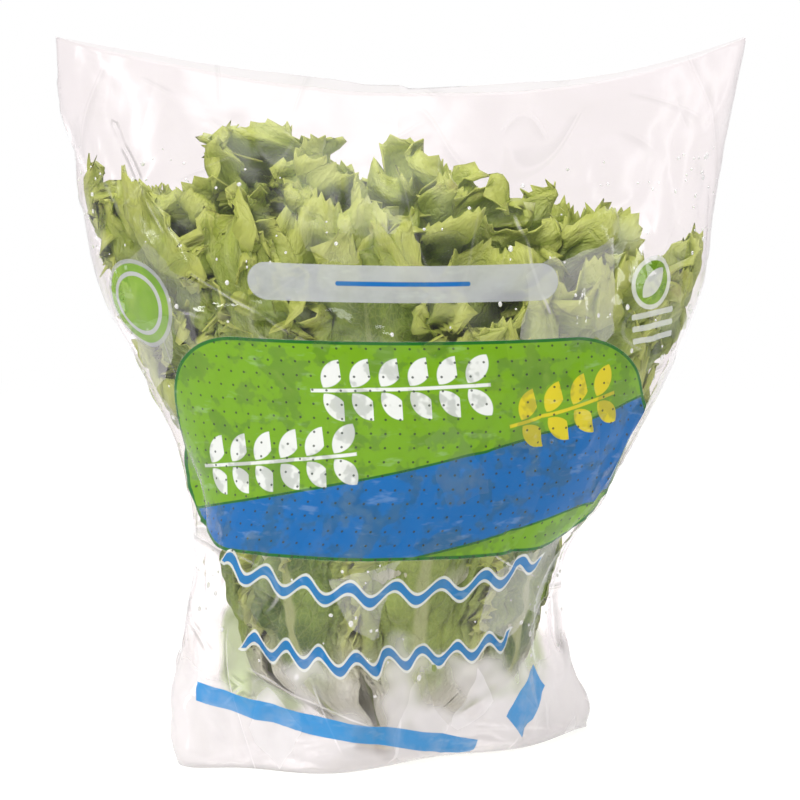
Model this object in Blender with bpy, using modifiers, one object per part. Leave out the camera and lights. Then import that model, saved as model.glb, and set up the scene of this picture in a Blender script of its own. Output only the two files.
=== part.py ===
"""A head of escarole standing in a clear film sleeve. Metres, +Z up, printed side of the sleeve towards -Y.

The head is a short cut stem, two whorls of large outer leaves that each stand as their own piece, and a
heart of crowded inner leaves that grow from one dense core. The sleeve is a thin open-topped bag, narrow
and pinched flat at the foot, wide at the mouth, with the head inside it.
"""

import math
import random
from dataclasses import dataclass

import bmesh
import bpy
from mathutils import Vector

TOOTH_SEED = 5

# Film sleeve
SLEEVE_HEIGHT = 0.332
FILM_THICKNESS = 0.0009
SLEEVE_SIDES = 36
SLEEVE_ROWS = 16

# How far the rim dips between its corners, how much more so on one side, how fast the dip fades below, and the soft
# folds that run up the film: their depth, their number round the sleeve and their turn on the way up
RIM_DIP = 0.024
RIM_DIP_SKEW = 0.30
RIM_DIP_POWER = 4
FOLD_DEPTH = 0.0012
FOLDS = 5
FOLD_TURN = 7.0

# The skirt at the foot: how far it is turned round, the depth and number of its waves, how fast both fade
SKIRT_TURN = 0.42
SKIRT_WAVE = 0.0075
SKIRT_WAVES = 6
SKIRT_FADE = 6.0

# Share of the sleeve's height, middle, half width, half depth, how sharply its two side edges are creased
SLEEVE_SECTIONS = (
    (0.00, -0.0060, 0.0960, 0.045, 1.70),
    (0.05, -0.0075, 0.0970, 0.050, 1.65),
    (0.16, -0.0125, 0.0930, 0.060, 1.45),
    (0.27, -0.0105, 0.0870, 0.071, 1.20),
    (0.38, 0.0000, 0.0995, 0.078, 1.08),
    (0.50, 0.0035, 0.1185, 0.082, 1.04),
    (0.64, 0.0000, 0.1390, 0.081, 1.04),
    (0.78, -0.0010, 0.1480, 0.070, 1.06),
    (0.90, -0.0010, 0.1560, 0.057, 1.10),
    (1.00, 0.0000, 0.1600, 0.046, 1.15),
)

# The outline that the whole head fills: height, middle, half width, half depth
HEAD_SECTIONS = (
    (0.000, -0.0040, 0.0360, 0.0360),
    (0.030, -0.0060, 0.0550, 0.0450),
    (0.060, -0.0075, 0.0680, 0.0530),
    (0.092, -0.0070, 0.0770, 0.0630),
    (0.126, -0.0015, 0.0920, 0.0710),
    (0.166, 0.0015, 0.1140, 0.0770),
    (0.212, 0.0000, 0.1370, 0.0755),
    (0.255, 0.0000, 0.1460, 0.0650),
    (0.295, 0.0000, 0.1480, 0.0500),
)

# Cut stem
GAP = 0.0004
STEM_FOOT_RADIUS = 0.0175
STEM_TOP_RADIUS = 0.0120
STEM_TOP = 0.0200
STEM_SIDES = 24
STEM_EDGE = 0.0010

# Dense middle of the head, as height and share of the head's outline
CORE_FOOT = STEM_TOP + GAP
CORE_TOP = 0.2150
CORE_SIDES = 26
CORE_RINGS = 16
CORE_SECTIONS = (
    (CORE_FOOT, 0.200),
    (0.035, 0.330),
    (0.060, 0.500),
    (0.100, 0.570),
    (0.150, 0.570),
    (0.180, 0.500),
    (0.205, 0.310),
    (CORE_TOP, 0.020),
)

# Steps along and across a leaf
OUTER_GRID = (13, 6)
INNER_GRID = (7, 4)

# Leaf thickness, and the share of a leaf's length over which its rib thins out
RIB_THICKNESS = 0.0052
BLADE_THICKNESS = 0.0009
RIB_END = 0.70

# Leaf outline: width at the foot, where full width is reached, how the tip rounds off and narrows, lobes
FOOT_SPREAD = 0.78
SPREAD_END = 0.45
TIP_ROUNDING = 0.13
TIP_ROUNDING_POWER = 6
TIP_BLUNTNESS = 2.6
TIP_NARROWING = 0.28
TIP_NARROWING_POWER = 4
LOBES = 5.0
LOBE_DEPTH = 0.060
TOOTH_START = 0.26
TOOTH_LENGTH = (0.0036, 0.0074)

# Leaf bend: where it has left the stem, and where its tip starts, which curls outwards
RISE_END = 0.22
TIP_START = 0.70

# Leaf ruffle: its share of full depth below the tip, how close to the edges it keeps, how many waves a side
# edge is ahead of the middle, below the tip and at it, and how far leaves stray from their neighbours' waves
RUFFLE_LOW = 0.40
RUFFLE_REACH = 1.5
SIDE_WAVES = 1.0 / 7.0
TIP_WAVES = SIDE_WAVES + 0.75
STRAY = 0.4

# The most of the head's outline that a leaf reaches, so that it stays clear of the film
REACH = 0.970

# How much taller the leaves stand on the side that the head leans to
LEAN = 0.015

LEAF_GREEN = (0.36, 0.50, 0.12, 1.0)
HEART_GREEN = (0.56, 0.66, 0.22, 1.0)
STEM_CREAM = (0.86, 0.84, 0.68, 1.0)
FILM_CLEAR = (0.93, 0.94, 0.93, 0.25)


@dataclass(frozen=True)
class Leaf:
    """One leaf. Shares are of the head's outline at that height, and angles are round the head.

    The ruffle, the tuck of one edge under the next leaf and the curl of the tip are such shares too, and
    the waves are a number per metre of height.
    """

    azimuth: float
    half_angle: float
    share: float
    foot_share: float
    foot_height: float
    tip_height: float
    ruffle: float
    waves: float
    phase: float
    rib: float
    tuck: float
    curl: float


@dataclass(frozen=True)
class Whorl:
    """A ring of like leaves at one share of the head's outline."""

    seed: int
    count: int
    turn: float
    half_angle: float
    share: float
    foot_share: float
    foot_height: float
    tip_heights: tuple
    ruffle: float
    waves: float
    rib: float
    tuck: float
    curl: float


OUTER_WHORL = Whorl(
    seed=13, count=7, turn=-0.50, half_angle=0.490, share=0.898, foot_share=0.505, foot_height=0.0055,
    tip_heights=(0.170, 0.210), ruffle=0.060, waves=21.0, rib=RIB_THICKNESS, tuck=0.050, curl=0.035,
)
MIDDLE_WHORL = Whorl(
    seed=14, count=7, turn=0.00, half_angle=0.490, share=0.740, foot_share=0.395, foot_height=0.0135,
    tip_heights=(0.228, 0.262), ruffle=0.056, waves=19.0, rib=RIB_THICKNESS, tuck=0.049, curl=0.170,
)
HEART_WHORLS = (
    Whorl(
        seed=3, count=9, turn=0.25, half_angle=0.400, share=0.565, foot_share=0.430, foot_height=0.105,
        tip_heights=(0.236, 0.268), ruffle=0.055, waves=20.0, rib=0.0024, tuck=0.030, curl=0.170,
    ),
    Whorl(
        seed=4, count=7, turn=0.75, half_angle=0.480, share=0.470, foot_share=0.360, foot_height=0.145,
        tip_heights=(0.250, 0.276), ruffle=0.060, waves=20.0, rib=0.0020, tuck=0.040, curl=0.120,
    ),
    Whorl(
        seed=5, count=5, turn=0.10, half_angle=0.600, share=0.330, foot_share=0.230, foot_height=0.168,
        tip_heights=(0.256, 0.278), ruffle=0.060, waves=19.0, rib=0.0018, tuck=0.035, curl=0.100,
    ),
    Whorl(
        seed=6, count=3, turn=0.60, half_angle=0.760, share=0.170, foot_share=0.100, foot_height=0.180,
        tip_heights=(0.254, 0.274), ruffle=0.055, waves=18.0, rib=0.0016, tuck=0.020, curl=0.060,
    ),
)


def smoothstep(value: float) -> float:
    """Eases a value from 0 to 1, and holds it outside that range."""
    held = min(max(value, 0.0), 1.0)
    return held * held * (3.0 - 2.0 * held)


def mix(low: float, high: float, share: float) -> float:
    """The value that lies that share of the way from low to high."""
    return low + (high - low) * share


def read_sections(sections: tuple, at: float) -> list:
    """The sizes at one height, on smooth curves through the rows of sections, which start with theirs."""
    last = len(sections) - 1
    row = 0
    while row < last - 1 and at > sections[row + 1][0]:
        row += 1
    low, high = sections[row], sections[row + 1]
    before, after = sections[max(row - 1, 0)], sections[min(row + 2, last)]
    span = high[0] - low[0]
    t = min(max((at - low[0]) / span, 0.0), 1.0)
    sizes = []
    for column in range(1, len(low)):
        leave = (high[column] - before[column]) / (high[0] - before[0]) * span
        arrive = (after[column] - low[column]) / (after[0] - low[0]) * span
        sizes.append(
            low[column] * (2 * t**3 - 3 * t**2 + 1)
            + leave * (t**3 - 2 * t**2 + t)
            + high[column] * (3 * t**2 - 2 * t**3)
            + arrive * (t**3 - t**2)
        )
    return sizes


def clear_scene() -> None:
    """Removes every object, so that only this model is left."""
    for old in list(bpy.data.objects):
        bpy.data.objects.remove(old, do_unlink=True)


def new_collection(name: str) -> bpy.types.Collection:
    """A collection linked to the scene."""
    collection = bpy.data.collections.new(name)
    bpy.context.scene.collection.children.link(collection)
    return collection


def new_material(name: str, colour: tuple, roughness: float) -> bpy.types.Material:
    """A Principled material, see-through where its colour's alpha is under 1."""
    material = bpy.data.materials.new(name)
    material.use_nodes = True
    shader = material.node_tree.nodes["Principled BSDF"]
    shader.inputs["Base Color"].default_value = colour
    shader.inputs["Roughness"].default_value = roughness
    shader.inputs["Metallic"].default_value = 0.0
    shader.inputs["Alpha"].default_value = colour[3]
    return material


def object_from(bm: bmesh.types.BMesh, name: str, collection, material) -> bpy.types.Object:
    """Turns a bmesh into a smooth-shaded object in the collection."""
    mesh = bpy.data.meshes.new(name)
    bm.to_mesh(mesh)
    bm.free()
    mesh.shade_smooth()
    mesh.materials.append(material)
    made = bpy.data.objects.new(name, mesh)
    collection.objects.link(made)
    return made


def head_point(share: float, angle: float, height: float) -> Vector:
    """The point at that share of the head's outline, in that direction, at that height."""
    middle, half_width, half_depth = read_sections(HEAD_SECTIONS, height)
    x = middle + half_width * share * math.cos(angle)
    return Vector((x, half_depth * share * math.sin(angle), height))


def leaf_point(leaf: Leaf, along: float, across: float) -> Vector:
    """A point of a leaf's middle surface, along from foot 0 to tip 1 and across from edge -1 to edge 1."""
    fall = TIP_ROUNDING * along**TIP_ROUNDING_POWER * abs(across) ** TIP_BLUNTNESS
    height = mix(leaf.foot_height, leaf.tip_height, along - fall)
    risen = smoothstep(along / RISE_END)
    tip = smoothstep((along - TIP_START) / (1.0 - TIP_START))
    ruffle = leaf.ruffle * mix(RUFFLE_LOW * risen, 1.0, tip) * max(abs(across) ** RUFFLE_REACH, tip)
    waves = leaf.waves * height + mix(SIDE_WAVES, TIP_WAVES, tip) * across
    wave = ruffle * math.sin(math.tau * waves + leaf.phase)
    share = mix(leaf.foot_share, leaf.share, risen) + leaf.tuck * risen * across + wave + leaf.curl * tip
    narrowing = 1.0 - TIP_NARROWING * along**TIP_NARROWING_POWER
    spread = mix(FOOT_SPREAD, 1.0, smoothstep(along / SPREAD_END)) * narrowing
    lobe = LOBE_DEPTH * risen * math.sin(math.tau * LOBES * along + 2 * leaf.phase)
    angle = leaf.azimuth + across * leaf.half_angle * (spread + lobe)
    return head_point(min(share, REACH), angle, height)


def thickness_weight(leaf: Leaf, along: float, across: float) -> float:
    """How thick the leaf is there, as a share of its rib's thickness at the foot."""
    thin = BLADE_THICKNESS / leaf.rib
    rib = max(1.0 - along / RIB_END, 0.0) * (1.0 - across**2)
    return thin + (1.0 - thin) * rib


def add_teeth(bm: bmesh.types.BMesh, places: dict, rng: random.Random) -> None:
    """Puts a pointed tooth on each edge of the blade's sides and tip."""
    for edge in [e for e in bm.edges if e.is_boundary]:
        first, second = edge.verts
        alongs = [places[v][0] for v in (first, second)]
        if min(alongs) < TOOTH_START:
            continue
        face = edge.link_faces[0]
        middle = (first.co + second.co) / 2
        outward = (second.co - first.co).cross(face.normal).normalized()
        if outward.dot(face.calc_center_median() - middle) > 0:
            outward.negate()
        tooth = bm.verts.new(middle + outward * rng.uniform(*TOOTH_LENGTH))
        places[tooth] = (sum(alongs) / 2, 1.0)
        loop = next(k for k in face.loops if k.edge == edge)
        bm.faces.new((loop.link_loop_next.vert, loop.vert, tooth))


def build_leaf(name: str, leaf: Leaf, grid: tuple, collection, material, rng) -> bpy.types.Object:
    """A leaf as a waved, toothed sheet with its rib's thickness at the foot and the blade's at the tip."""
    steps_along, steps_across = grid
    bm = bmesh.new()
    bmesh.ops.create_grid(bm, x_segments=steps_across, y_segments=steps_along, size=1.0)
    places = {v: ((v.co.y + 1.0) / 2.0, v.co.x) for v in bm.verts}
    for vert, (along, across) in places.items():
        vert.co = leaf_point(leaf, along, across)
    bm.normal_update()
    add_teeth(bm, places, rng)
    bmesh.ops.triangulate(bm, faces=bm.faces[:])
    bmesh.ops.recalc_face_normals(bm, faces=bm.faces[:])
    weights = [thickness_weight(leaf, *places[v]) for v in bm.verts]
    made = object_from(bm, name, collection, material)
    group = made.vertex_groups.new(name="thickness")
    for index, weight in enumerate(weights):
        group.add([index], weight, "REPLACE")
    wall = made.modifiers.new("leaf thickness", "SOLIDIFY")
    wall.thickness = leaf.rib
    wall.offset = 0.0
    wall.vertex_group = group.name
    return made


def leaves_of(whorl: Whorl) -> list:
    """The leaves of a whorl, evenly turned, taller on the side that the head leans to."""
    rng = random.Random(whorl.seed)
    leaves = []
    start = rng.uniform(0.0, math.tau)
    for number in range(whorl.count):
        azimuth = math.tau * (number + whorl.turn) / whorl.count
        tip = rng.uniform(*whorl.tip_heights) - LEAN * math.cos(azimuth)
        leaves.append(
            Leaf(
                azimuth=azimuth,
                half_angle=whorl.half_angle,
                share=whorl.share,
                foot_share=whorl.foot_share,
                foot_height=whorl.foot_height,
                tip_height=tip,
                ruffle=whorl.ruffle,
                waves=whorl.waves,
                phase=start + math.tau * 2 * SIDE_WAVES * number + rng.uniform(-STRAY, STRAY),
                rib=whorl.rib,
                tuck=whorl.tuck,
                curl=whorl.curl,
            )
        )
    return leaves


def build_stem(collection, material) -> bpy.types.Object:
    """The short stem, cut flat at its foot, that every leaf grows from."""
    foot = FILM_THICKNESS + GAP
    middle = head_point(0.0, 0.0, foot)
    bm = bmesh.new()
    bmesh.ops.create_cone(
        bm,
        cap_ends=True,
        segments=STEM_SIDES,
        radius1=STEM_FOOT_RADIUS,
        radius2=STEM_TOP_RADIUS,
        depth=STEM_TOP - foot,
    )
    bmesh.ops.translate(bm, verts=bm.verts[:], vec=(middle.x, middle.y, (STEM_TOP + foot) / 2))
    rims = [e for e in bm.edges if abs(e.verts[0].co.z - e.verts[1].co.z) < GAP]
    bmesh.ops.bevel(bm, geom=rims, offset=STEM_EDGE, segments=2, affect="EDGES", profile=0.5)
    return object_from(bm, "cut_stem", collection, material)


def build_core(collection, material) -> bpy.types.Object:
    """The dense middle of the head, which the inner leaves stand out of."""
    bm = bmesh.new()
    bmesh.ops.create_uvsphere(bm, u_segments=CORE_SIDES, v_segments=CORE_RINGS, radius=1.0)
    lowest_ring = -math.cos(math.pi / CORE_RINGS)
    for vert in bm.verts:
        x, y, z = vert.co
        is_pole = abs(z) > abs(lowest_ring) + GAP
        climb = max((z - lowest_ring) / (1.0 - lowest_ring), 0.0)
        height = mix(CORE_FOOT, CORE_TOP, climb)
        (share,) = read_sections(CORE_SECTIONS, height)
        vert.co = head_point(0.0 if is_pole else share, math.atan2(y, x), height)
    return object_from(bm, "heart_leaves", collection, material)


def build_heart(collection, material, rng: random.Random) -> bpy.types.Object:
    """The inner leaves, joined to the core they grow from as one body."""
    heart = build_core(collection, material)
    blades = new_collection("inner leaves")
    for ring, whorl in enumerate(HEART_WHORLS):
        for number, leaf in enumerate(leaves_of(whorl)):
            build_leaf(f"inner_{ring}_{number}", leaf, INNER_GRID, blades, material, rng)
    join = heart.modifiers.new("join leaves", "BOOLEAN")
    join.operation = "UNION"
    join.operand_type = "COLLECTION"
    join.collection = blades
    join.solver = "MANIFOLD"
    graph = bpy.context.evaluated_depsgraph_get()
    joined = bpy.data.meshes.new_from_object(heart.evaluated_get(graph))
    heart.modifiers.clear()
    heart.data = joined
    for blade in list(blades.objects):
        bpy.data.objects.remove(blade, do_unlink=True)
    bpy.data.collections.remove(blades)
    return heart


def build_outer_leaves(collection, material, rng: random.Random) -> None:
    """The two whorls of large outer leaves, each leaf its own piece."""
    for label, whorl in (("outer_leaf", OUTER_WHORL), ("middle_leaf", MIDDLE_WHORL)):
        for number, leaf in enumerate(leaves_of(whorl), start=1):
            build_leaf(f"{label}_{number}", leaf, OUTER_GRID, collection, material, rng)


def sleeve_point(row: float, turn: float) -> Vector:
    """A point of the sleeve's outer face, row from foot 0 to rim 1 and turn once round from 0 to 1."""
    middle, half_width, half_depth, crease = read_sections(SLEEVE_SECTIONS, row)
    angle = math.tau * turn
    x = middle + half_width * math.cos(angle)
    side = math.sin(angle)
    skirt = (1.0 - row) ** SKIRT_FADE
    fold = FOLD_DEPTH * math.sin(FOLDS * angle + FOLD_TURN * row) * math.sin(math.pi * row)
    wave = SKIRT_WAVE * skirt * math.sin(SKIRT_WAVES * angle)
    depth = half_depth * abs(side) ** crease + (fold + wave) * abs(side)
    y = math.copysign(depth, side) + SKIRT_TURN * skirt * (x - middle)
    across = math.cos(angle)
    dip = RIM_DIP * (1.0 - across**2) * (1.0 + RIM_DIP_SKEW * across) * row**RIM_DIP_POWER
    return Vector((x, y, row * (SLEEVE_HEIGHT - dip)))


def build_sleeve(collection, material) -> bpy.types.Object:
    """The film sleeve, one wall thick, flat on the ground at its foot and open at its rim."""
    bm = bmesh.new()
    rings = []
    for row in range(SLEEVE_ROWS + 1):
        ring = [sleeve_point(row / SLEEVE_ROWS, side / SLEEVE_SIDES) for side in range(SLEEVE_SIDES)]
        rings.append([bm.verts.new(point) for point in ring])
    for lower, upper in zip(rings, rings[1:]):
        for side in range(SLEEVE_SIDES):
            after = (side + 1) % SLEEVE_SIDES
            bm.faces.new((lower[side], lower[after], upper[after], upper[side]))
    bm.faces.new(list(reversed(rings[0])))
    bmesh.ops.triangulate(bm, faces=bm.faces[:])
    made = object_from(bm, "film_sleeve", collection, material)
    wall = made.modifiers.new("film thickness", "SOLIDIFY")
    wall.thickness = FILM_THICKNESS
    wall.offset = -1.0
    return made


def centre_over_origin(collection) -> None:
    """Shifts every piece alike, so that the whole object's box stands centred over the origin."""
    bpy.context.view_layer.update()
    graph = bpy.context.evaluated_depsgraph_get()
    corners = [
        Vector(corner) for piece in collection.objects for corner in piece.evaluated_get(graph).bound_box
    ]
    low = [min(corner[axis] for corner in corners) for axis in range(3)]
    high = [max(corner[axis] for corner in corners) for axis in range(3)]
    shift = Vector((-(low[0] + high[0]) / 2, -(low[1] + high[1]) / 2, -low[2]))
    for piece in collection.objects:
        for vert in piece.data.vertices:
            vert.co += shift


def main() -> None:
    """Builds the escarole in its sleeve."""
    clear_scene()
    rng = random.Random(TOOTH_SEED)
    escarole = new_collection("escarole")
    green = new_material("leaf green", LEAF_GREEN, 0.55)
    pale = new_material("heart green", HEART_GREEN, 0.55)
    cream = new_material("stem cream", STEM_CREAM, 0.60)
    film = new_material("clear film", FILM_CLEAR, 0.15)
    build_stem(escarole, cream)
    build_heart(escarole, pale, rng)
    build_outer_leaves(escarole, green, rng)
    build_sleeve(escarole, film)
    centre_over_origin(escarole)


main()
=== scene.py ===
"""Looks of a head of escarole in its clear film sleeve: frilled leaves, cut stem, printed film and droplets.

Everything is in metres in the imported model's own frame, +Z up, the sleeve's printed front towards -Y.
"""

import logging
import math
import random
from dataclasses import dataclass
from enum import Enum

import bpy
import numpy as np
from mathutils import Matrix, Vector


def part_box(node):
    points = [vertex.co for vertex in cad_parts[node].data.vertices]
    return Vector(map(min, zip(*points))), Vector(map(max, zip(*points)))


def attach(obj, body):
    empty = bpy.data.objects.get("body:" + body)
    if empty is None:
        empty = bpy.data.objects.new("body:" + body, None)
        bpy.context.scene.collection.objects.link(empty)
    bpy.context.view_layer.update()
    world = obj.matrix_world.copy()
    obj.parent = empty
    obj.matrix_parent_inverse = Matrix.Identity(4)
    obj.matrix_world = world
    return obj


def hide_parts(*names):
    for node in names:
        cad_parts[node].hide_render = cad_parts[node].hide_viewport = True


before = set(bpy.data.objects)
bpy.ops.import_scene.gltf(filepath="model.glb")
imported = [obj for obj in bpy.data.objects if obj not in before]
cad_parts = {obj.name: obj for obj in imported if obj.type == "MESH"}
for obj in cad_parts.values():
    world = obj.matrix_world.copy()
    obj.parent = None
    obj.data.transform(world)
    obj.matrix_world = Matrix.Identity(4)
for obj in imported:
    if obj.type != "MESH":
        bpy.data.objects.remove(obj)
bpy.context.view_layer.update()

LOG = logging.getLogger("escarole")
TAU = math.tau
SHORTEST = 1e-9


# The head's outline, a little fuller low down than the solid leaves': height, middle, half width, half depth
HEAD_SECTIONS = (
    (0.000, -0.0040, 0.0375, 0.0360),
    (0.030, -0.0050, 0.0600, 0.0460),
    (0.060, -0.0060, 0.0728, 0.0540),
    (0.092, -0.0055, 0.0800, 0.0632),
    (0.126, -0.0005, 0.0938, 0.0712),
    (0.166, 0.0020, 0.1154, 0.0772),
    (0.212, 0.0000, 0.1374, 0.0757),
    (0.255, 0.0000, 0.1464, 0.0653),
    (0.295, 0.0000, 0.1480, 0.0500),
)
# The solid sleeve's outline: share of its height, middle, half width, half depth, sharpness of its sides
SLEEVE_SECTIONS = (
    (0.00, -0.0060, 0.0960, 0.045, 1.70),
    (0.05, -0.0075, 0.0970, 0.050, 1.65),
    (0.16, -0.0125, 0.0930, 0.060, 1.45),
    (0.27, -0.0105, 0.0870, 0.071, 1.20),
    (0.38, 0.0000, 0.0995, 0.078, 1.08),
    (0.50, 0.0035, 0.1185, 0.082, 1.04),
    (0.64, 0.0000, 0.1390, 0.081, 1.04),
    (0.78, -0.0010, 0.1480, 0.070, 1.06),
    (0.90, -0.0010, 0.1560, 0.057, 1.10),
    (1.00, 0.0000, 0.1600, 0.046, 1.15),
)


def smoothstep(value: np.ndarray) -> np.ndarray:
    """Eases values from 0 to 1, and holds them outside that range."""
    held = np.clip(value, 0.0, 1.0)
    return held * held * (3.0 - 2.0 * held)


def blend(low: np.ndarray, high: np.ndarray, share: np.ndarray) -> np.ndarray:
    """The values that lie that share of the way from low to high."""
    return low + (high - low) * share


def unit(vectors: np.ndarray) -> np.ndarray:
    """The vectors along the last axis, each made one long."""
    return vectors / np.maximum(np.linalg.norm(vectors, axis=-1, keepdims=True), SHORTEST)


class SmoothSections:
    """Sizes that change smoothly along a height, on curves through given rows."""

    def __init__(self, rows: tuple) -> None:
        """Keeps the rows, each a height followed by its sizes."""
        self.rows = np.array(rows, float)

    def at(self, heights: np.ndarray) -> list:
        """Reads every size at the heights.

        Args:
            heights: the heights to read at, of any shape.

        Returns:
            One array for each size, of the heights' shape.
        """
        rows = self.rows
        last = len(rows) - 1
        places = np.asarray(heights, float)
        low = np.clip(np.searchsorted(rows[:, 0], places, side="left") - 1, 0, last - 1)
        before, after = np.maximum(low - 1, 0), np.minimum(low + 2, last)
        high = low + 1
        span = rows[high, 0] - rows[low, 0]
        t = np.clip((places - rows[low, 0]) / span, 0.0, 1.0)
        sizes = []
        for column in range(1, rows.shape[1]):
            leave = (rows[high, column] - rows[before, column]) / (rows[high, 0] - rows[before, 0]) * span
            arrive = (rows[after, column] - rows[low, column]) / (rows[after, 0] - rows[low, 0]) * span
            sizes.append(
                rows[low, column] * (2 * t**3 - 3 * t**2 + 1)
                + leave * (t**3 - 2 * t**2 + t)
                + rows[high, column] * (3 * t**2 - 2 * t**3)
                + arrive * (t**3 - t**2)
            )
        return sizes


HEAD = SmoothSections(HEAD_SECTIONS)
SLEEVE = SmoothSections(SLEEVE_SECTIONS)


def row_shift() -> Vector:
    """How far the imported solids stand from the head's own axis, read from the cut stem's place."""
    low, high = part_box("cut_stem")
    return Vector(((low.x + high.x) / 2 - HEAD_SECTIONS[0][1], (low.y + high.y) / 2, 0.0))


SHIFT = row_shift()


def select_only(*things: bpy.types.Object) -> None:
    """Leaves only these objects selected, and the first of them active."""
    bpy.ops.object.select_all(action="DESELECT")
    for thing in things:
        thing.select_set(True)
    bpy.context.view_layer.objects.active = things[0]


def apply_modifiers(thing: bpy.types.Object) -> None:
    """Applies an object's modifiers in their order."""
    select_only(thing)
    for modifier in list(thing.modifiers):
        bpy.ops.object.modifier_apply(modifier=modifier.name)


def grid_primitive(name: str, columns: int, rows: int) -> tuple:
    """Adds a flat grid to shape.

    Args:
        name: the new object's name.
        columns: faces along X.
        rows: faces along Y.

    Returns:
        The object, and for each of its points the column and the row that it stands in.
    """
    bpy.ops.object.select_all(action="DESELECT")
    bpy.ops.mesh.primitive_grid_add(
        x_subdivisions=columns, y_subdivisions=rows, size=2.0, location=(0, 0, 0)
    )
    made = bpy.context.object
    made.name = name
    made.data.name = name
    flat = np.empty(len(made.data.vertices) * 3, np.float32)
    made.data.vertices.foreach_get("co", flat)
    flat = flat.reshape(-1, 3)
    column = np.rint((flat[:, 0] + 1.0) / 2.0 * columns).astype(int)
    row = np.rint((flat[:, 1] + 1.0) / 2.0 * rows).astype(int)
    return made, column, row


def set_points(thing: bpy.types.Object, points: np.ndarray) -> None:
    """Moves an object's points to the given places."""
    thing.data.vertices.foreach_set("co", np.ascontiguousarray(points, np.float32).ravel())
    thing.data.update()


def linked_copy(name: str, data: bpy.types.ID) -> bpy.types.Object:
    """A new object of the data, in the scene."""
    made = bpy.data.objects.new(name, data)
    bpy.context.scene.collection.objects.link(made)
    return made


def surface_normals(points: np.ndarray) -> np.ndarray:
    """Normals of a surface given as a grid of points, row by row."""
    return unit(np.cross(np.gradient(points, axis=1), np.gradient(points, axis=0)))


class SoftNoise:
    """Seeded smooth noise of two coordinates, as a sum of waves in all directions."""

    PITCHES = (0.6, 1.7)

    def __init__(self, seed: int, waves: int = 14) -> None:
        """Draws the waves' directions, pitches and phases."""
        rng = random.Random(seed)
        self.waves = [
            (rng.uniform(0, TAU), rng.uniform(*self.PITCHES), rng.uniform(0, TAU)) for _ in range(waves)
        ]

    def at(self, first: np.ndarray, second: np.ndarray, size: float) -> np.ndarray:
        """Reads the noise.

        Args:
            first: the places' first coordinates.
            second: their second coordinates.
            size: how large its features are, about.

        Returns:
            The values, about -1 to 1.
        """
        total = np.zeros(np.broadcast(first, second).shape)
        for angle, pitch, phase in self.waves:
            total += np.sin((first * math.cos(angle) + second * math.sin(angle)) * TAU * pitch / size + phase)
        return total / math.sqrt(len(self.waves))


# Leaves


@dataclass(frozen=True)
class Leaf:
    """One leaf of a whorl: where it stands, how tall and light it is, and its seed."""

    whorl: "Whorl"
    azimuth: float
    tip_height: float
    phase: float
    tone: float
    seed: int


@dataclass(frozen=True)
class Whorl:
    """A ring of like leaves.

    Shares are of the head's outline at its height, and angles are round the head.
    """

    seed: int
    count: int
    turn: float
    half_angle: float
    share: float
    foot_share: float
    foot_height: float
    tip_heights: tuple
    ruffle: float
    waves: float
    rib: float
    tuck: float
    curl: float
    tone: float
    lean: float = 0.015
    side_waves: float = 1.0 / 7.0
    phase_stray: float = 0.4
    tone_stray: float = 0.34
    tone_seed: int = 500

    def leaves(self) -> list:
        """Spaces the leaves evenly, taller on the side that the head leans to.

        Returns:
            The leaves, in their order round the head.
        """
        rng = random.Random(self.seed)
        tones = random.Random(self.seed + self.tone_seed)
        start = rng.uniform(0.0, TAU)
        leaves = []
        for number in range(self.count):
            azimuth = TAU * (number + self.turn) / self.count
            tip = rng.uniform(*self.tip_heights) - self.lean * math.cos(azimuth)
            stray = rng.uniform(-self.phase_stray, self.phase_stray)
            phase = start + TAU * 2 * self.side_waves * number + stray
            tone = self.tone + tones.uniform(-self.tone_stray, self.tone_stray)
            seed = self.seed * 100 + number
            leaves.append(Leaf(self, azimuth, tip, phase, min(max(tone, 0.0), 1.0), seed))
        return leaves


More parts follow.
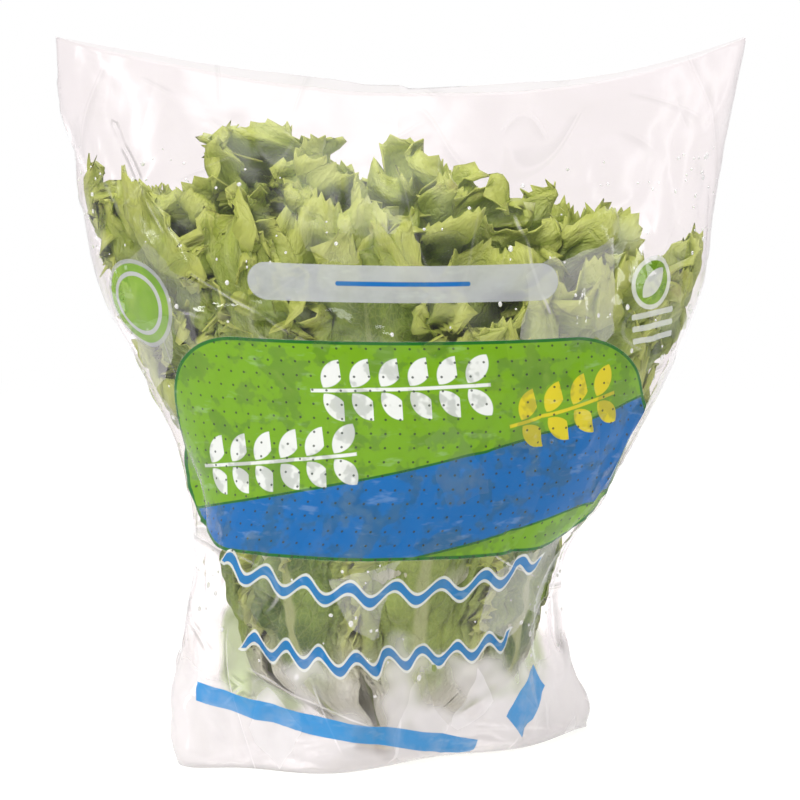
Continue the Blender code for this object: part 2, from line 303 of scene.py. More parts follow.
@dataclass
class LeafBuilder:
    """Builds a leaf as a fine, frilled and toothed sheet on the solid leaf's own form.

    Lengths and depths are in metres. A drift or swell is a reach in pitches and a strength.
    """

    blade_thickness: float = 0.0007
    rib_end: float = 0.70
    rib_roundness: float = 1.5
    foot_spread: float = 0.78
    spread_end: float = 0.45
    tip_rounding: float = 0.13
    tip_bluntness: float = 2.6
    tip_narrowing: float = 0.28
    lobes: float = 5.0
    lobe_depth: float = 0.060
    rise_end: float = 0.19
    tip_start: float = 0.70
    ruffle_low: float = 0.40
    ruffle_reach: float = 1.5
    side_waves: float = 1.0 / 7.0
    tip_waves: float = 1.0 / 7.0 + 0.75
    reach: float = 0.970
    frill_lengths: tuple = (0.030, 0.0115)
    frill_depths: tuple = (0.0066, 0.0028)
    frill_reaches: tuple = (1.7, 3.2)
    frill_drift: tuple = (3.0, 1.6)
    frill_swell: tuple = (2.2, 0.45)
    frill_sweep: float = 0.50
    frill_lag: float = 0.6
    frill_start: float = 0.08
    frill_rise: float = 0.40
    margin_roundness: float = 0.7
    scallop_pitch: float = 0.024
    scallop_depth: float = 0.0105
    scallop_reach: float = 4.0
    scallop_drift: tuple = (3.5, 1.3)
    scallop_middle: float = 0.6
    blister_sizes: tuple = (0.030, 0.0120)
    blister_depths: tuple = (0.0036, 0.0016)
    blister_rises: tuple = (2.4, 5.0)
    tooth_length: tuple = (0.0020, 0.0047)
    tooth_steps: tuple = (2, 2, 2, 3)
    tooth_start: float = 0.22
    tooth_rise: float = 6.0
    tip_turn: float = 0.75
    press_start: float = 0.90
    press_end: float = 1.005

    def form(self, leaf: Leaf, along: np.ndarray, across: np.ndarray) -> np.ndarray:
        """The leaf's main form, which the solid leaf has too.

        Args:
            leaf: the leaf.
            along: share of the way from foot to tip.
            across: place between the edges, -1 to 1.

        Returns:
            The points, with a last axis of three.
        """
        whorl = leaf.whorl
        fall = self.tip_rounding * along**6 * np.abs(across) ** self.tip_bluntness
        height = blend(whorl.foot_height, leaf.tip_height, along - fall)
        risen = smoothstep(along / self.rise_end)
        tip = smoothstep((along - self.tip_start) / (1.0 - self.tip_start))
        reach = np.maximum(np.abs(across) ** self.ruffle_reach, tip)
        ruffle = whorl.ruffle * blend(self.ruffle_low * risen, 1.0, tip) * reach
        waves = whorl.waves * height + blend(self.side_waves, self.tip_waves, tip) * across
        share = blend(whorl.foot_share, whorl.share, risen) + whorl.tuck * risen * across
        share = share + ruffle * np.sin(TAU * waves + leaf.phase) + whorl.curl * tip
        spread = blend(self.foot_spread, 1.0, smoothstep(along / self.spread_end))
        spread = spread * (1.0 - self.tip_narrowing * along**4)
        lobe = self.lobe_depth * risen * np.sin(TAU * self.lobes * along + 2 * leaf.phase)
        angle = leaf.azimuth + across * whorl.half_angle * (spread + lobe)
        share = np.minimum(share, self.reach)
        middle, half_width, half_depth = HEAD.at(height)
        x = middle + half_width * share * np.cos(angle)
        return np.stack((x, half_depth * share * np.sin(angle), height), axis=-1)

    def frill(self, leaf: Leaf, along: np.ndarray, across: np.ndarray, spans: tuple) -> tuple:
        """How far the surface stands off its form in frills that deepen and shorten towards the margin.

        Args:
            leaf: the leaf.
            along: share of the way from foot to tip.
            across: place between the edges, -1 to 1.
            spans: the leaf's length and half its width.

        Returns:
            How far off the surface, and how far outwards along it.
        """
        length, width = spans
        tip = smoothstep((along - self.tip_start) / (1.0 - self.tip_start)) ** self.margin_roundness
        edge = np.maximum(np.abs(across), tip)
        margin = across * width + np.sign(across) * length * (1.0 - along) * across**2
        noise = SoftNoise(leaf.seed + 1)
        start = smoothstep((along - self.frill_start) / self.frill_rise)
        off, out = np.zeros_like(along), np.zeros_like(along)
        # Each reading of the noise is taken on a row of its own, so that no two follow each other
        for order, (pitch, depth, power) in enumerate(
            zip(self.frill_lengths, self.frill_depths, self.frill_reaches)
        ):
            drift = noise.at(margin, edge * 0.02 + order, pitch * self.frill_drift[0]) * self.frill_drift[1]
            swell = noise.at(margin, edge * 0.01 + 5.0 + order, pitch * self.frill_swell[0])
            phase = TAU * margin / pitch + drift + leaf.phase * 3
            strength = depth * (1.0 + self.frill_swell[1] * swell) * start * edge**power
            off += strength * np.sin(phase)
            out += self.frill_sweep * strength * np.cos(phase + self.frill_lag)
        reach, turns = self.scallop_drift
        drift = noise.at(margin, edge * 0.01 + 9.0, self.scallop_pitch * reach) * turns
        scallop = np.abs(np.sin(math.pi * margin / self.scallop_pitch + drift)) ** self.margin_roundness
        out += self.scallop_depth * start * edge**self.scallop_reach * (scallop - self.scallop_middle)
        blister = SoftNoise(leaf.seed + 2)
        risen = [smoothstep(place * rise) for place, rise in zip((along, np.abs(across)), self.blister_rises)]
        for size, depth in zip(self.blister_sizes, self.blister_depths):
            off += depth * blister.at(along * length, across * width, size) * risen[0] * risen[1]
        return off, out

    def pressed(self, points: np.ndarray) -> np.ndarray:
        """Flattens whatever reaches past the head's outline against the inside of the film.

        Args:
            points: the leaf's points.

        Returns:
            The points, none of them beyond the film.
        """
        middle, half_width, half_depth = HEAD.at(points[..., 2])
        x, y = points[..., 0] - middle, points[..., 1]
        share = np.sqrt((x / half_width) ** 2 + (y / half_depth) ** 2)
        room = self.press_end - self.press_start
        over = np.maximum(share - self.press_start, 0.0)
        held = np.where(over > 0.0, self.press_start + room * np.tanh(over / room), share)
        scale = held / np.maximum(share, SHORTEST)
        return np.stack((middle + x * scale, y * scale, points[..., 2]), axis=-1)

    def teeth(self, count: int, rng: random.Random) -> np.ndarray:
        """Draws the teeth along a margin.

        Args:
            count: the margin's points.
            rng: the leaf's own draws.

        Returns:
            How far each point stands out, 0 between the teeth.
        """
        lengths = np.zeros(count)
        place = rng.randint(0, 2)
        while place < count:
            lengths[place] = rng.uniform(*self.tooth_length)
            place += rng.choice(self.tooth_steps)
        return lengths

    def points(self, leaf: Leaf, rows: int, columns: int) -> np.ndarray:
        """The leaf's middle surface.

        Args:
            leaf: the leaf.
            rows: faces from foot to tip.
            columns: faces from edge to edge.

        Returns:
            A grid of points, row by row from foot to tip.
        """
        along, across = np.meshgrid(
            np.linspace(0.0, 1.0, rows + 1), np.linspace(-1.0, 1.0, columns + 1), indexing="ij"
        )
        form = self.form(leaf, along, across)
        length = float(np.linalg.norm(np.diff(form[:, columns // 2], axis=0), axis=1).sum())
        width = float(np.linalg.norm(np.diff(form[rows // 2], axis=0), axis=1).sum()) / 2.0
        off, out = self.frill(leaf, along, across, (length, width))
        tip_share = smoothstep((along - self.tip_turn) / (1.0 - self.tip_turn))[..., None]
        outwards = np.gradient(form, axis=1) * np.sign(across)[..., None] * (1.0 - tip_share)
        outwards = unit(outwards + np.gradient(form, axis=0) * tip_share)
        form = form + surface_normals(form) * off[..., None] + outwards * out[..., None]
        rng = random.Random(leaf.seed)
        for side, inner in ((0, 1), (columns, columns - 1)):
            lengths = self.teeth(rows + 1, rng)
            lengths = lengths * smoothstep((along[:, 0] - self.tooth_start) * self.tooth_rise)
            form[:, side] += unit(form[:, side] - form[:, inner]) * lengths[:, None]
        form[rows] += unit(form[rows] - form[rows - 1]) * self.teeth(columns + 1, rng)[:, None]
        return self.pressed(form)

    def build(self, name: str, leaf: Leaf, rows: int, columns: int) -> bpy.types.Object:
        """Models one leaf.

        Args:
            name: the piece's name.
            leaf: the leaf's place and size.
            rows: faces from foot to tip.
            columns: faces from edge to edge.

        Returns:
            The finished leaf, closed and with its thickness, as one object at the origin.
        """
        made, column, row = grid_primitive(name, columns, rows)
        points = self.points(leaf, rows, columns)
        set_points(made, points[row, column] + np.array(SHIFT))
        across, along = column / columns * 2.0 - 1.0, row / rows
        thickness = leaf.whorl.rib
        thin = self.blade_thickness / thickness
        rib = np.maximum(1.0 - along / self.rib_end, 0.0) * (1.0 - across**2) ** self.rib_roundness
        group = made.vertex_groups.new(name="thickness")
        for index, weight in enumerate(blend(thin, 1.0, rib)):
            group.add([index], float(weight), "REPLACE")
        wall = made.modifiers.new("leaf thickness", "SOLIDIFY")
        wall.thickness = thickness
        wall.offset = 0.0
        wall.vertex_group = group.name
        apply_modifiers(made)
        made.vertex_groups.clear()
        tone = made.data.attributes.new("tone", "FLOAT", "POINT")
        tone.data.foreach_set("value", np.full(len(made.data.vertices), leaf.tone, np.float32))
        made.data.shade_smooth()
        return made


# Materials


class Wiring:
    """Adds and joins the nodes of one material or node group."""

    def __init__(self, tree: bpy.types.NodeTree) -> None:
        """Keeps the tree."""
        self.tree = tree

    def node(self, kind: str, feeds: dict, **settings: object) -> bpy.types.Node:
        """Adds a shader node.

        Args:
            kind: the node's type.
            feeds: what goes into its inputs, by their names or places.
            settings: its properties.

        Returns:
            The node.
        """
        made = self.tree.nodes.new(f"ShaderNode{kind}")
        for key, value in settings.items():
            setattr(made, key, value)
        for socket, value in feeds.items():
            self.feed(made, socket, value)
        return made

    def feed(self, node: bpy.types.Node, socket: object, value: object) -> None:
        """Links a socket to an output, or sets its value."""
        target = node.inputs[socket]
        if isinstance(value, bpy.types.NodeSocket):
            self.tree.links.new(value, target)
        else:
            target.default_value = value

    def shader(self, kind: str, feeds: dict) -> bpy.types.NodeSocket:
        """A shader of that kind."""
        return self.node(f"Bsdf{kind}", feeds).outputs[0]

    def maths(self, operation: str, *values: object, clamp: bool = False) -> bpy.types.NodeSocket:
        """A Math node of the values."""
        return self.node("Math", dict(enumerate(values)), operation=operation, use_clamp=clamp).outputs[0]

    def times(self, first: object, second: object) -> bpy.types.NodeSocket:
        """One value times another."""
        return self.maths("MULTIPLY", first, second)

    def sloped(self, value: object, slope: object, start: object) -> bpy.types.NodeSocket:
        """A start, and a slope times the value."""
        return self.maths("MULTIPLY_ADD", value, slope, start)

    def larger(self, first: object, second: object) -> bpy.types.NodeSocket:
        """The larger of two values."""
        return self.maths("MAXIMUM", first, second)

    def smaller(self, first: object, second: object) -> bpy.types.NodeSocket:
        """The smaller of two values."""
        return self.maths("MINIMUM", first, second)

    def vector(self, operation: str, *values: object) -> bpy.types.NodeSocket:
        """A Vector Math node of the values, with its number or its vector as the case is."""
        made = self.node("VectorMath", dict(enumerate(values)), operation=operation)
        return made.outputs["Value" if operation == "LENGTH" else "Vector"]

    def stretched(self, place: object, sizes: tuple) -> bpy.types.NodeSocket:
        """The place, with each of its numbers times a size."""
        return self.vector("MULTIPLY", place, sizes)

    def parts(self, place: object) -> tuple:
        """The place's three numbers."""
        return tuple(self.node("SeparateXYZ", {0: place}).outputs)

    def joined(self, first: object, second: object) -> bpy.types.NodeSocket:
        """A place of two numbers."""
        return self.node("CombineXYZ", {0: first, 1: second}).outputs[0]

    def remap(
        self, value: object, low: float, high: float, start: object = 0.0, end: float = 1.0
    ) -> bpy.types.NodeSocket:
        """Eases from start to end as the value goes from low to high, and holds there."""
        feeds = dict(enumerate((value, low, high, start, end)))
        return self.node("MapRange", feeds, interpolation_type="SMOOTHSTEP", clamp=True).outputs[0]

    def fall(self, value: object, low: float, high: float, end: float = 0.0) -> bpy.types.NodeSocket:
        """Eases from 1 to the end as the value goes from low to high, and holds there."""
        return self.remap(value, low, high, 1.0, end)

    def mix(self, share: object, first: object, second: object) -> bpy.types.NodeSocket:
        """Mixes two colours."""
        return self.node("Mix", {0: share, 6: first, 7: second}, data_type="RGBA").outputs[2]

    def shade(self, share: object, first: object, second: object) -> bpy.types.NodeSocket:
        """Mixes two shaders."""
        return self.node("MixShader", dict(enumerate((share, first, second)))).outputs[0]

    def noise(
        self, place: object, scale: float, detail: float = 3.0, roughness: float = 0.5, flat: bool = True
    ) -> bpy.types.NodeSocket:
        """A Noise Texture's value, of two coordinates where it is flat."""
        feeds = {"Vector": place, "Scale": scale, "Detail": detail, "Roughness": roughness}
        return self.node("TexNoise", feeds, noise_dimensions="2D" if flat else "3D").outputs["Fac"]

    def wandering(self, place: object, scale: float, reach: float) -> bpy.types.NodeSocket:
        """The place, moved by smooth noise of that scale, up to half the reach each way."""
        made = self.node("TexNoise", {"Vector": place, "Scale": scale}, noise_dimensions="2D")
        away = self.vector("SUBTRACT", made.outputs["Color"], (0.5, 0.5, 0.5))
        return self.vector("ADD", place, self.stretched(away, (reach, reach, 0.0)))

    def cells(self, place: object, scale: float, **settings: str) -> bpy.types.Node:
        """A Voronoi Texture of two coordinates."""
        return self.node("TexVoronoi", {"Vector": place, "Scale": scale}, voronoi_dimensions="2D", **settings)

    def cell_edges(self, place: object, scale: float) -> bpy.types.NodeSocket:
        """The distance from the edges between chance cells."""
        return self.cells(place, scale, feature="DISTANCE_TO_EDGE").outputs["Distance"]

    def bump(self, height: object, strength: float, distance: float) -> bpy.types.NodeSocket:
        """A Bump node's normal."""
        feeds = {"Strength": strength, "Distance": distance, "Height": height}
        return self.node("Bump", feeds).outputs["Normal"]

    def own_map(self) -> bpy.types.NodeSocket:
        """The place on the piece's own map."""
        return self.node("UVMap", {}, uv_map="UVMap").outputs[0]

    def own_place(self) -> bpy.types.NodeSocket:
        """The place in the piece's own space."""
        return self.node("TexCoord", {}).outputs["Object"]

    def grazing(self) -> bpy.types.NodeSocket:
        """How far the face turns from the view, 0 to 1."""
        return self.node("LayerWeight", {"Blend": 0.5}).outputs["Facing"]

    def shine_share(self, grazing: object, facing: float, power: float) -> bpy.types.NodeSocket:
        """How much the face mirrors: the given share seen straight on, and all at a grazing view."""
        return self.sloped(self.maths("POWER", grazing, power), 1.0 - facing, facing)

    def is_seen(self) -> bpy.types.NodeSocket:
        """1 to the camera, and 0 to light."""
        return self.node("LightPath", {}).outputs["Is Camera Ray"]


def blank_material(name: str) -> tuple:
    """A new material with nothing but its output.

    Args:
        name: the material's name.

    Returns:
        The material, the wiring of its nodes and its output.
    """
    material = bpy.data.materials.new(name)
    material.use_nodes = True
    material.node_tree.nodes.clear()
    wiring = Wiring(material.node_tree)
    return material, wiring, wiring.node("OutputMaterial", {})


def new_group(name: str, inputs: dict, outputs: dict) -> tuple:
    """Starts a node group.

    Args:
        name: the group's name.
        inputs: the kinds of its inputs, by their names.
        outputs: the kinds of its outputs, by their names.

    Returns:
        The wiring of its nodes, what comes in, and the node that what goes out is fed to.
    """
    tree = bpy.data.node_groups.new(name, "ShaderNodeTree")
    for in_out, sockets in (("INPUT", inputs), ("OUTPUT", outputs)):
        for socket, kind in sockets.items():
            tree.interface.new_socket(socket, in_out=in_out, socket_type=f"NodeSocket{kind}")
    return Wiring(tree), tree.nodes.new("NodeGroupInput").outputs, tree.nodes.new("NodeGroupOutput")


@dataclass(frozen=True)
class LeafFinish:
    """The leaf's skin: cream rib and veins, blistered green blade, and brighter margins that are partly their
    own paler colour and partly a painted highlight.

    Places are shares of the leaf's length and of half its width.
    """

    rib_cream: tuple = (0.56, 0.62, 0.26, 1.0)
    blade_dark: tuple = (0.085, 0.165, 0.020, 1.0)
    blade_light: tuple = (0.325, 0.455, 0.080, 1.0)
    # The margin colour is partly the edge's own paler yellow-green and partly a painted highlight of lit,
    # translucent rims; the fine net is drawn in it too
    margin: tuple = (0.760, 0.830, 0.170, 1.0)
    heart: tuple = (0.540, 0.645, 0.105, 1.0)
    foot_white: tuple = (0.92, 0.90, 0.74, 1.0)
    browned: tuple = (0.330, 0.220, 0.060, 1.0)
    bounce: tuple = (0.470, 0.580, 0.120, 1.0)
    translucent_share: float = 0.42
    roughness: float = 0.40
    blade_shape: tuple = (0.45, 1.0, 1.0)
    veins: float = 11.0
    vein_slant: float = 0.22
    vein_bend: float = 0.16
    vein_width: float = 0.085
    vein_taper: float = 0.055
    net_scale: float = 58.0
    net_width: float = 0.16
    rib_width: float = 0.24
    rib_taper: float = 0.22
    rib_least: float = 0.022
    foot_slant: float = 0.12
    foot_range: tuple = (0.05, 0.25)
    foot_height: tuple = (0.050, 0.100)
    mottle_scale: float = 44.0
    heart_share: float = 0.80
    margin_and_highlight_share: float = 0.80
    net_share: float = 0.12
    vein_share: float = 0.16
    browned_share: float = 0.45
    wrinkle_scale: float = 46.0
    wrinkle_depth: float = 1.8
    vein_depth: float = 0.5

    def material(self) -> bpy.types.Material:
        """Builds the leaf material."""
        material, w, output = blank_material("leaf")
        uv, place = w.own_map(), w.own_place()
        colour, vein = self.blade(w, uv, place)
        wrinkles = w.noise(w.stretched(uv, (0.8, 1.0, 1.0)), self.wrinkle_scale, 2.0, 0.65)
        relief = w.sloped(vein, -self.vein_depth, w.times(wrinkles, self.wrinkle_depth))
        normal = w.bump(relief, 0.65, 0.0012)
        skin = w.shader("Principled", {"Base Color": colour, "Roughness": self.roughness, "Normal": normal})
        through = w.shader("Translucent", {"Color": colour, "Normal": normal})
        # Light that comes by way of other leaves needs only the skin's mean colour
        low = w.remap(w.parts(place)[2], *self.foot_height)
        plain = w.shader("Diffuse", {"Color": w.mix(low, self.foot_white, self.bounce)})
        seen = w.shade(self.translucent_share, skin, through)
        w.feed(output, "Surface", w.shade(w.is_seen(), plain, seen))
        return material

    def blade(self, w: Wiring, uv: object, place: object) -> tuple:
        """Wires the blade's colours.

        Args:
            w: the material's wiring.
            uv: the place on the leaf's map.
            place: the place in space.

        Returns:
            The colour, and the mask of the side veins.
        """
        run, along, _ = w.parts(uv)
        side = w.maths("ABSOLUTE", w.sloped(run, 2.0, -1.0))
        scaled = w.stretched(uv, self.blade_shape)
        # Side veins leave the rib at a slant and fork, bent a little by noise
        slant = w.sloped(side, -self.vein_slant, along)
        slant = w.maths("ADD", slant, w.times(w.noise(scaled, 9.0, 2.0), self.vein_bend))
        vein = w.maths("PINGPONG", w.times(slant, self.veins), 0.5)
        vein = w.maths("DIVIDE", vein, w.sloped(side, -self.vein_taper, self.vein_width))
        vein = w.fall(vein, 0.35, 1.0)
        # A fine net between the veins
        net = w.fall(w.cell_edges(scaled, self.net_scale), 0.0, self.net_width)
        rib_width = w.sloped(w.maths("POWER", along, 0.6), -self.rib_taper, self.rib_width)
        rib = w.fall(w.maths("DIVIDE", side, w.larger(rib_width, self.rib_least)), 0.45, 1.15)
        rib = w.times(rib, w.fall(along, 0.35, 0.85, 0.25))
        mottle = w.noise(place, self.mottle_scale, 3.0, 0.6, flat=False)
        edge = w.larger(w.remap(side, 0.66, 1.0), w.remap(along, 0.84, 1.0))
        spots = w.times(w.remap(mottle, 0.60, 0.72), w.remap(edge, 0.55, 1.0))
        tone = w.node("Attribute", {}, attribute_type="GEOMETRY", attribute_name="tone").outputs["Fac"]
        colour = w.mix(w.remap(mottle, 0.30, 0.72), self.blade_dark, self.blade_light)
        for share, tint in (
            (w.times(tone, self.heart_share), self.heart),
            # Margins brighter: partly their own paler colour, partly a painted highlight
            (w.times(edge, self.margin_and_highlight_share), self.margin),
            (w.times(net, self.net_share), self.margin),
            (w.times(vein, self.vein_share), self.rib_cream),
            (w.times(spots, self.browned_share), self.browned),
            (w.fall(w.sloped(side, -self.foot_slant, along), *self.foot_range), self.foot_white),
            (rib, self.rib_cream),
        ):
            colour = w.mix(share, colour, tint)
        return colour, vein


@dataclass(frozen=True)
class StemFinish:
    """The cut stem: cream flesh, with a browned ring on the cut face."""

    flesh: tuple = (0.74, 0.70, 0.48, 1.0)
    browned: tuple = (0.36, 0.22, 0.09, 1.0)
    browned_height: tuple = (0.0012, 0.0060)
    patch_scale: float = 210.0
    fibre_scales: tuple = (900.0, 900.0, 60.0)
    roughness: float = 0.55

    def material(self) -> bpy.types.Material:
        """Builds the stem material."""
        material, w, output = blank_material("stem")
        place = w.own_place()
        patches = w.remap(w.noise(place, self.patch_scale, 4.0, 0.6, flat=False), 0.25, 0.75)
        share = w.times(w.fall(w.parts(place)[2], *self.browned_height), patches)
        fibres = w.noise(w.stretched(place, self.fibre_scales), 1.0, 2.0, flat=False)
        colour, normal = w.mix(share, self.flesh, self.browned), w.bump(fibres, 0.4, 0.0006)
        skin = w.shader("Principled", {"Base Color": colour, "Roughness": self.roughness, "Normal": normal})
        w.feed(output, "Surface", skin)
        return material


@dataclass(frozen=True)
class Stencil:
    """Cuts the masks of flat shapes on a map. Sizes are in metres, and half sizes are from the middle out."""

    w: Wiring
    soft: float = 0.00025

    def seen_from(self, place: object, middle: tuple) -> object:
        """The place as seen from a point."""
        return self.w.vector("SUBTRACT", place, (*middle, 0.0))

    def turned(self, place: object, middle: tuple, degrees: float) -> object:
        """The place as seen from a point, with the axes turned."""
        feeds = {"Vector": self.seen_from(place, middle), "Angle": -math.radians(degrees)}
        return self.w.node("VectorRotate", feeds, rotation_type="Z_AXIS").outputs[0]

    def distance(self, place: object, middle: tuple) -> object:
        """The distance from a point."""
        return self.w.vector("LENGTH", self.seen_from(place, middle))

    def within(self, away: object, reach: float) -> object:
        """The mask of all that is no further away than the reach."""
        return self.w.fall(away, reach - self.soft, reach + self.soft)

    def box(self, place: object, middle: tuple, half: tuple, radius: float = 0.0) -> object:
        """Cuts a rectangle with round corners.

        Args:
            place: the place on the map.
            middle: the rectangle's middle.
            half: half its width and half its height.
            radius: the corners' radius.

        Returns:
            The mask.
        """
        w = self.w
        away = w.vector("ABSOLUTE", self.seen_from(place, middle))
        over = w.vector("SUBTRACT", away, (half[0] - radius, half[1] - radius, 0.0))
        outside = w.vector("LENGTH", w.stretched(w.vector("MAXIMUM", over, (0, 0, 0)), (1, 1, 0)))
        across, up, _ = w.parts(over)
        return self.within(w.maths("ADD", outside, w.smaller(w.larger(across, up), 0.0)), radius)

    def leaf(self, place: object, half: float, fullness: float = 1.18) -> object:
        """Cuts a pointed leaf that lies along the first axis, where two discs overlap.

        Args:
            place: the place as seen from the leaf's middle.
            half: half the leaf's length.
            fullness: the discs' radius, as a share of that.

        Returns:
            The mask.
        """
        radius = half * fullness
        offset = math.sqrt(radius**2 - half**2)
        sides = [self.distance(place, (0.0, side)) for side in (offset, -offset)]
        return self.within(self.w.larger(*sides), radius)


@dataclass(frozen=True)
class SleevePrint:
    """The generic print: a green panel with leaves and a slanting stripe, a bare label, seal, bars and waves.

    Places are metres round the sleeve from its front middle and metres up it, and slopes are in degrees.
    """

    green: tuple = (0.150, 0.322, 0.009, 1.0)
    dark_green: tuple = (0.010, 0.120, 0.015, 1.0)
    blue: tuple = (0.000, 0.112, 0.360, 1.0)
    line_blue: tuple = (0.002, 0.160, 0.430, 1.0)
    sky: tuple = (0.000, 0.230, 0.560, 1.0)
    yellow: tuple = (0.600, 0.500, 0.015, 1.0)
    white: tuple = (0.41, 0.42, 0.43, 1.0)
    bright_white: tuple = (0.70, 0.71, 0.68, 1.0)
    hole_shade: tuple = (0.02, 0.03, 0.02, 1.0)
    hole_share: float = 0.85
    hole_pitch: float = 0.0065
    hole_range: tuple = (0.065, 0.110)
    panel_middle: tuple = (0.001, 0.1508)
    panel_half: tuple = (0.1230, 0.0508)
    panel_corner: float = 0.046
    panel_edge: float = 0.0016
    stripe: tuple = ((0.030, 0.127), 13.0)
    stripe_half: tuple = (0.30, 0.0210)
    stripe_edge: float = 0.0012
    white_sprigs: tuple = (((-0.056, 0.1450), 8.0, 0.042), ((0.004, 0.1800), 2.0, 0.042))
    yellow_sprig: tuple = ((0.080, 0.1690), 13.0, 0.0275)
    sprig_pitch: float = 0.0130
    sprig_leaf: tuple = ((0.0028, 0.0078), 52.0)
    sprig_leaf_half: float = 0.0080
    twig_half: tuple = (0.00806, 0.0008)
    label_middle: tuple = (0.002, 0.2285)
    label_half: tuple = (0.0700, 0.0088)
    label_line_half: tuple = (0.0300, 0.0011)
    seal_middle: tuple = (-0.129, 0.2130)
    seal_ring: float = 0.0140
    badge_middle: tuple = (0.122, 0.2240)
    badge_leaf_slope: float = 48.0
    badge_leaf_half: float = 0.0088
    bars: tuple = ((0.124, 0.2035), 4.0)
    bar_pitch: float = 0.0058
    bar_half: tuple = (0.0135, 0.0014)
    wave_lines: tuple = (((0.004, 0.0840), 0.082, 0.021), ((0.004, 0.0520), 0.064, 0.016))
    wave_swing: float = 0.0036
    wave_rise: float = 1.6
    band: tuple = ((-0.020, 0.0200), -11.5)
    band_half: tuple = (0.069, 0.0046)
    corner: tuple = ((0.082, 0.0230), 38.0)
    corner_half: tuple = (0.0170, 0.0085)

    def group(self) -> bpy.types.NodeTree:
        """Builds the node group.

        Returns:
            The group, which gives the ink's colour, how much it covers, and where the panel is.
        """
        outputs = {"Ink": "Color", "Cover": "Float", "Panel": "Float"}
        w, entry, leave = new_group("sleeve print", {"Place": "Vector"}, outputs)
        cut, place = Stencil(w), entry["Place"]
        ink, cover = self.white, 0.0
        for mask, colour, opacity in self.layers(cut, place):
            ink = w.mix(mask, ink, colour)
            cover = w.larger(cover, w.times(mask, opacity))
        panel = cut.box(place, self.panel_middle, self.panel_half, self.panel_half[1])
        holes = w.times(w.times(self.perforations(w, place), panel), self.hole_share)
        # Painted shade: the holes are near-black dots that stand for the shaded leaves seen through them
        w.feed(leave, "Ink", w.mix(holes, ink, self.hole_shade))
        w.feed(leave, "Cover", cover)
        w.feed(leave, "Panel", panel)
        return w.tree

    def layers(self, cut: Stencil, place: object) -> list:
        """Lays out the print.

        Args:
            cut: what cuts its masks.
            place: the place on the film's map.

        Returns:
            The layers of ink from first to last, each a mask, a colour and an opacity.
        """
        w = cut.w
        inner_half = [half - self.panel_edge for half in self.panel_half]
        panel = cut.box(place, self.panel_middle, self.panel_half, self.panel_corner)
        inner = cut.box(place, self.panel_middle, inner_half, self.panel_corner - self.panel_edge)
        on_stripe = cut.turned(place, *self.stripe)
        length, width = self.stripe_half
        on_panel = [
            (cut.box(on_stripe, (0.0, 0.0), (length, width + self.stripe_edge)), self.dark_green, 0.93),
            (cut.box(on_stripe, (0.0, 0.0), (length, width)), self.blue, 0.88),
        ]
        for sprig in self.white_sprigs:
            on_panel.append((self.sprig(cut, place, *sprig), self.bright_white, 0.92))
        on_panel.append((self.sprig(cut, place, *self.yellow_sprig), self.yellow, 0.90))
        layers = [(panel, self.dark_green, 0.95), (inner, self.green, 0.76)]
        layers += [(w.times(mask, inner), colour, opacity) for mask, colour, opacity in on_panel]
        for half, colour, opacity in (
            (self.label_half, self.white, 0.76),
            (self.label_line_half, self.blue, 0.90),
        ):
            layers.append((cut.box(place, self.label_middle, half, half[1] - 0.0001), colour, opacity))
        seal = cut.distance(place, self.seal_middle)
        ring = w.maths("ABSOLUTE", w.maths("SUBTRACT", seal, self.seal_ring))
        badge = cut.distance(place, self.badge_middle)
        for away, low, high, colour, opacity in (
            (seal, 0.0205, 0.0210, self.white, 0.55),
            (seal, 0.0185, 0.0190, self.green, 0.72),
            (ring, 0.0008, 0.0012, self.white, 0.85),
            (badge, 0.0125, 0.0130, self.bright_white, 0.66),
            (badge, 0.0102, 0.0107, self.green, 0.30),
        ):
            layers.append((w.fall(away, low, high), colour, opacity))
        on_badge = cut.turned(place, self.badge_middle, self.badge_leaf_slope)
        layers.append((cut.leaf(on_badge, self.badge_leaf_half), self.bright_white, 0.66))
        bar = self.row_of_three(w, cut.turned(place, *self.bars))
        layers.append((cut.box(bar, (0.0, 0.0), self.bar_half, 0.0008), self.bright_white, 0.60))
        for line in self.wave_lines:
            away = self.wave(cut, place, *line)
            layers.append((w.fall(away, 0.0034, 0.0039), self.bright_white, 0.72))
            layers.append((w.fall(away, 0.0020, 0.0024), self.line_blue, 0.86))
        band = cut.box(cut.turned(place, *self.band), (0.0, 0.0), self.band_half)
        corner = cut.box(cut.turned(place, *self.corner), (0.0, 0.0), self.corner_half)
        layers.append((w.larger(band, corner), self.sky, 0.88))
        return layers

    def row_of_three(self, w: Wiring, place: object) -> object:
        """The place in the nearest of three like cells, one above another."""
        across, up, _ = w.parts(place)
        row = w.maths("ROUND", w.maths("DIVIDE", up, self.bar_pitch))
        row = w.smaller(w.larger(row, -1.0), 1.0)
        return w.joined(across, w.sloped(row, -self.bar_pitch, up))

    def sprig(self, cut: Stencil, place: object, middle: tuple, degrees: float, half: float) -> object:
        """Cuts a slender twig with a pair of leaves at each even step.

        Args:
            cut: what cuts its masks.
            place: the place on the film's map.
            middle: the twig's middle.
            degrees: its slope.
            half: half its length.

        Returns:
            The mask.
        """
        w = cut.w
        run, up, _ = w.parts(cut.turned(place, middle, degrees))
        last = math.floor(half / self.sprig_pitch)
        step = w.maths("ROUND", w.maths("DIVIDE", run, self.sprig_pitch))
        step = w.smaller(w.larger(step, -last), last - 1)
        cell = w.joined(w.sloped(step, -self.sprig_pitch, run), w.maths("ABSOLUTE", up))
        leaf = cut.leaf(cut.turned(cell, *self.sprig_leaf), self.sprig_leaf_half)
        return w.larger(leaf, cut.box(cell, (0.0, 0.0), self.twig_half))

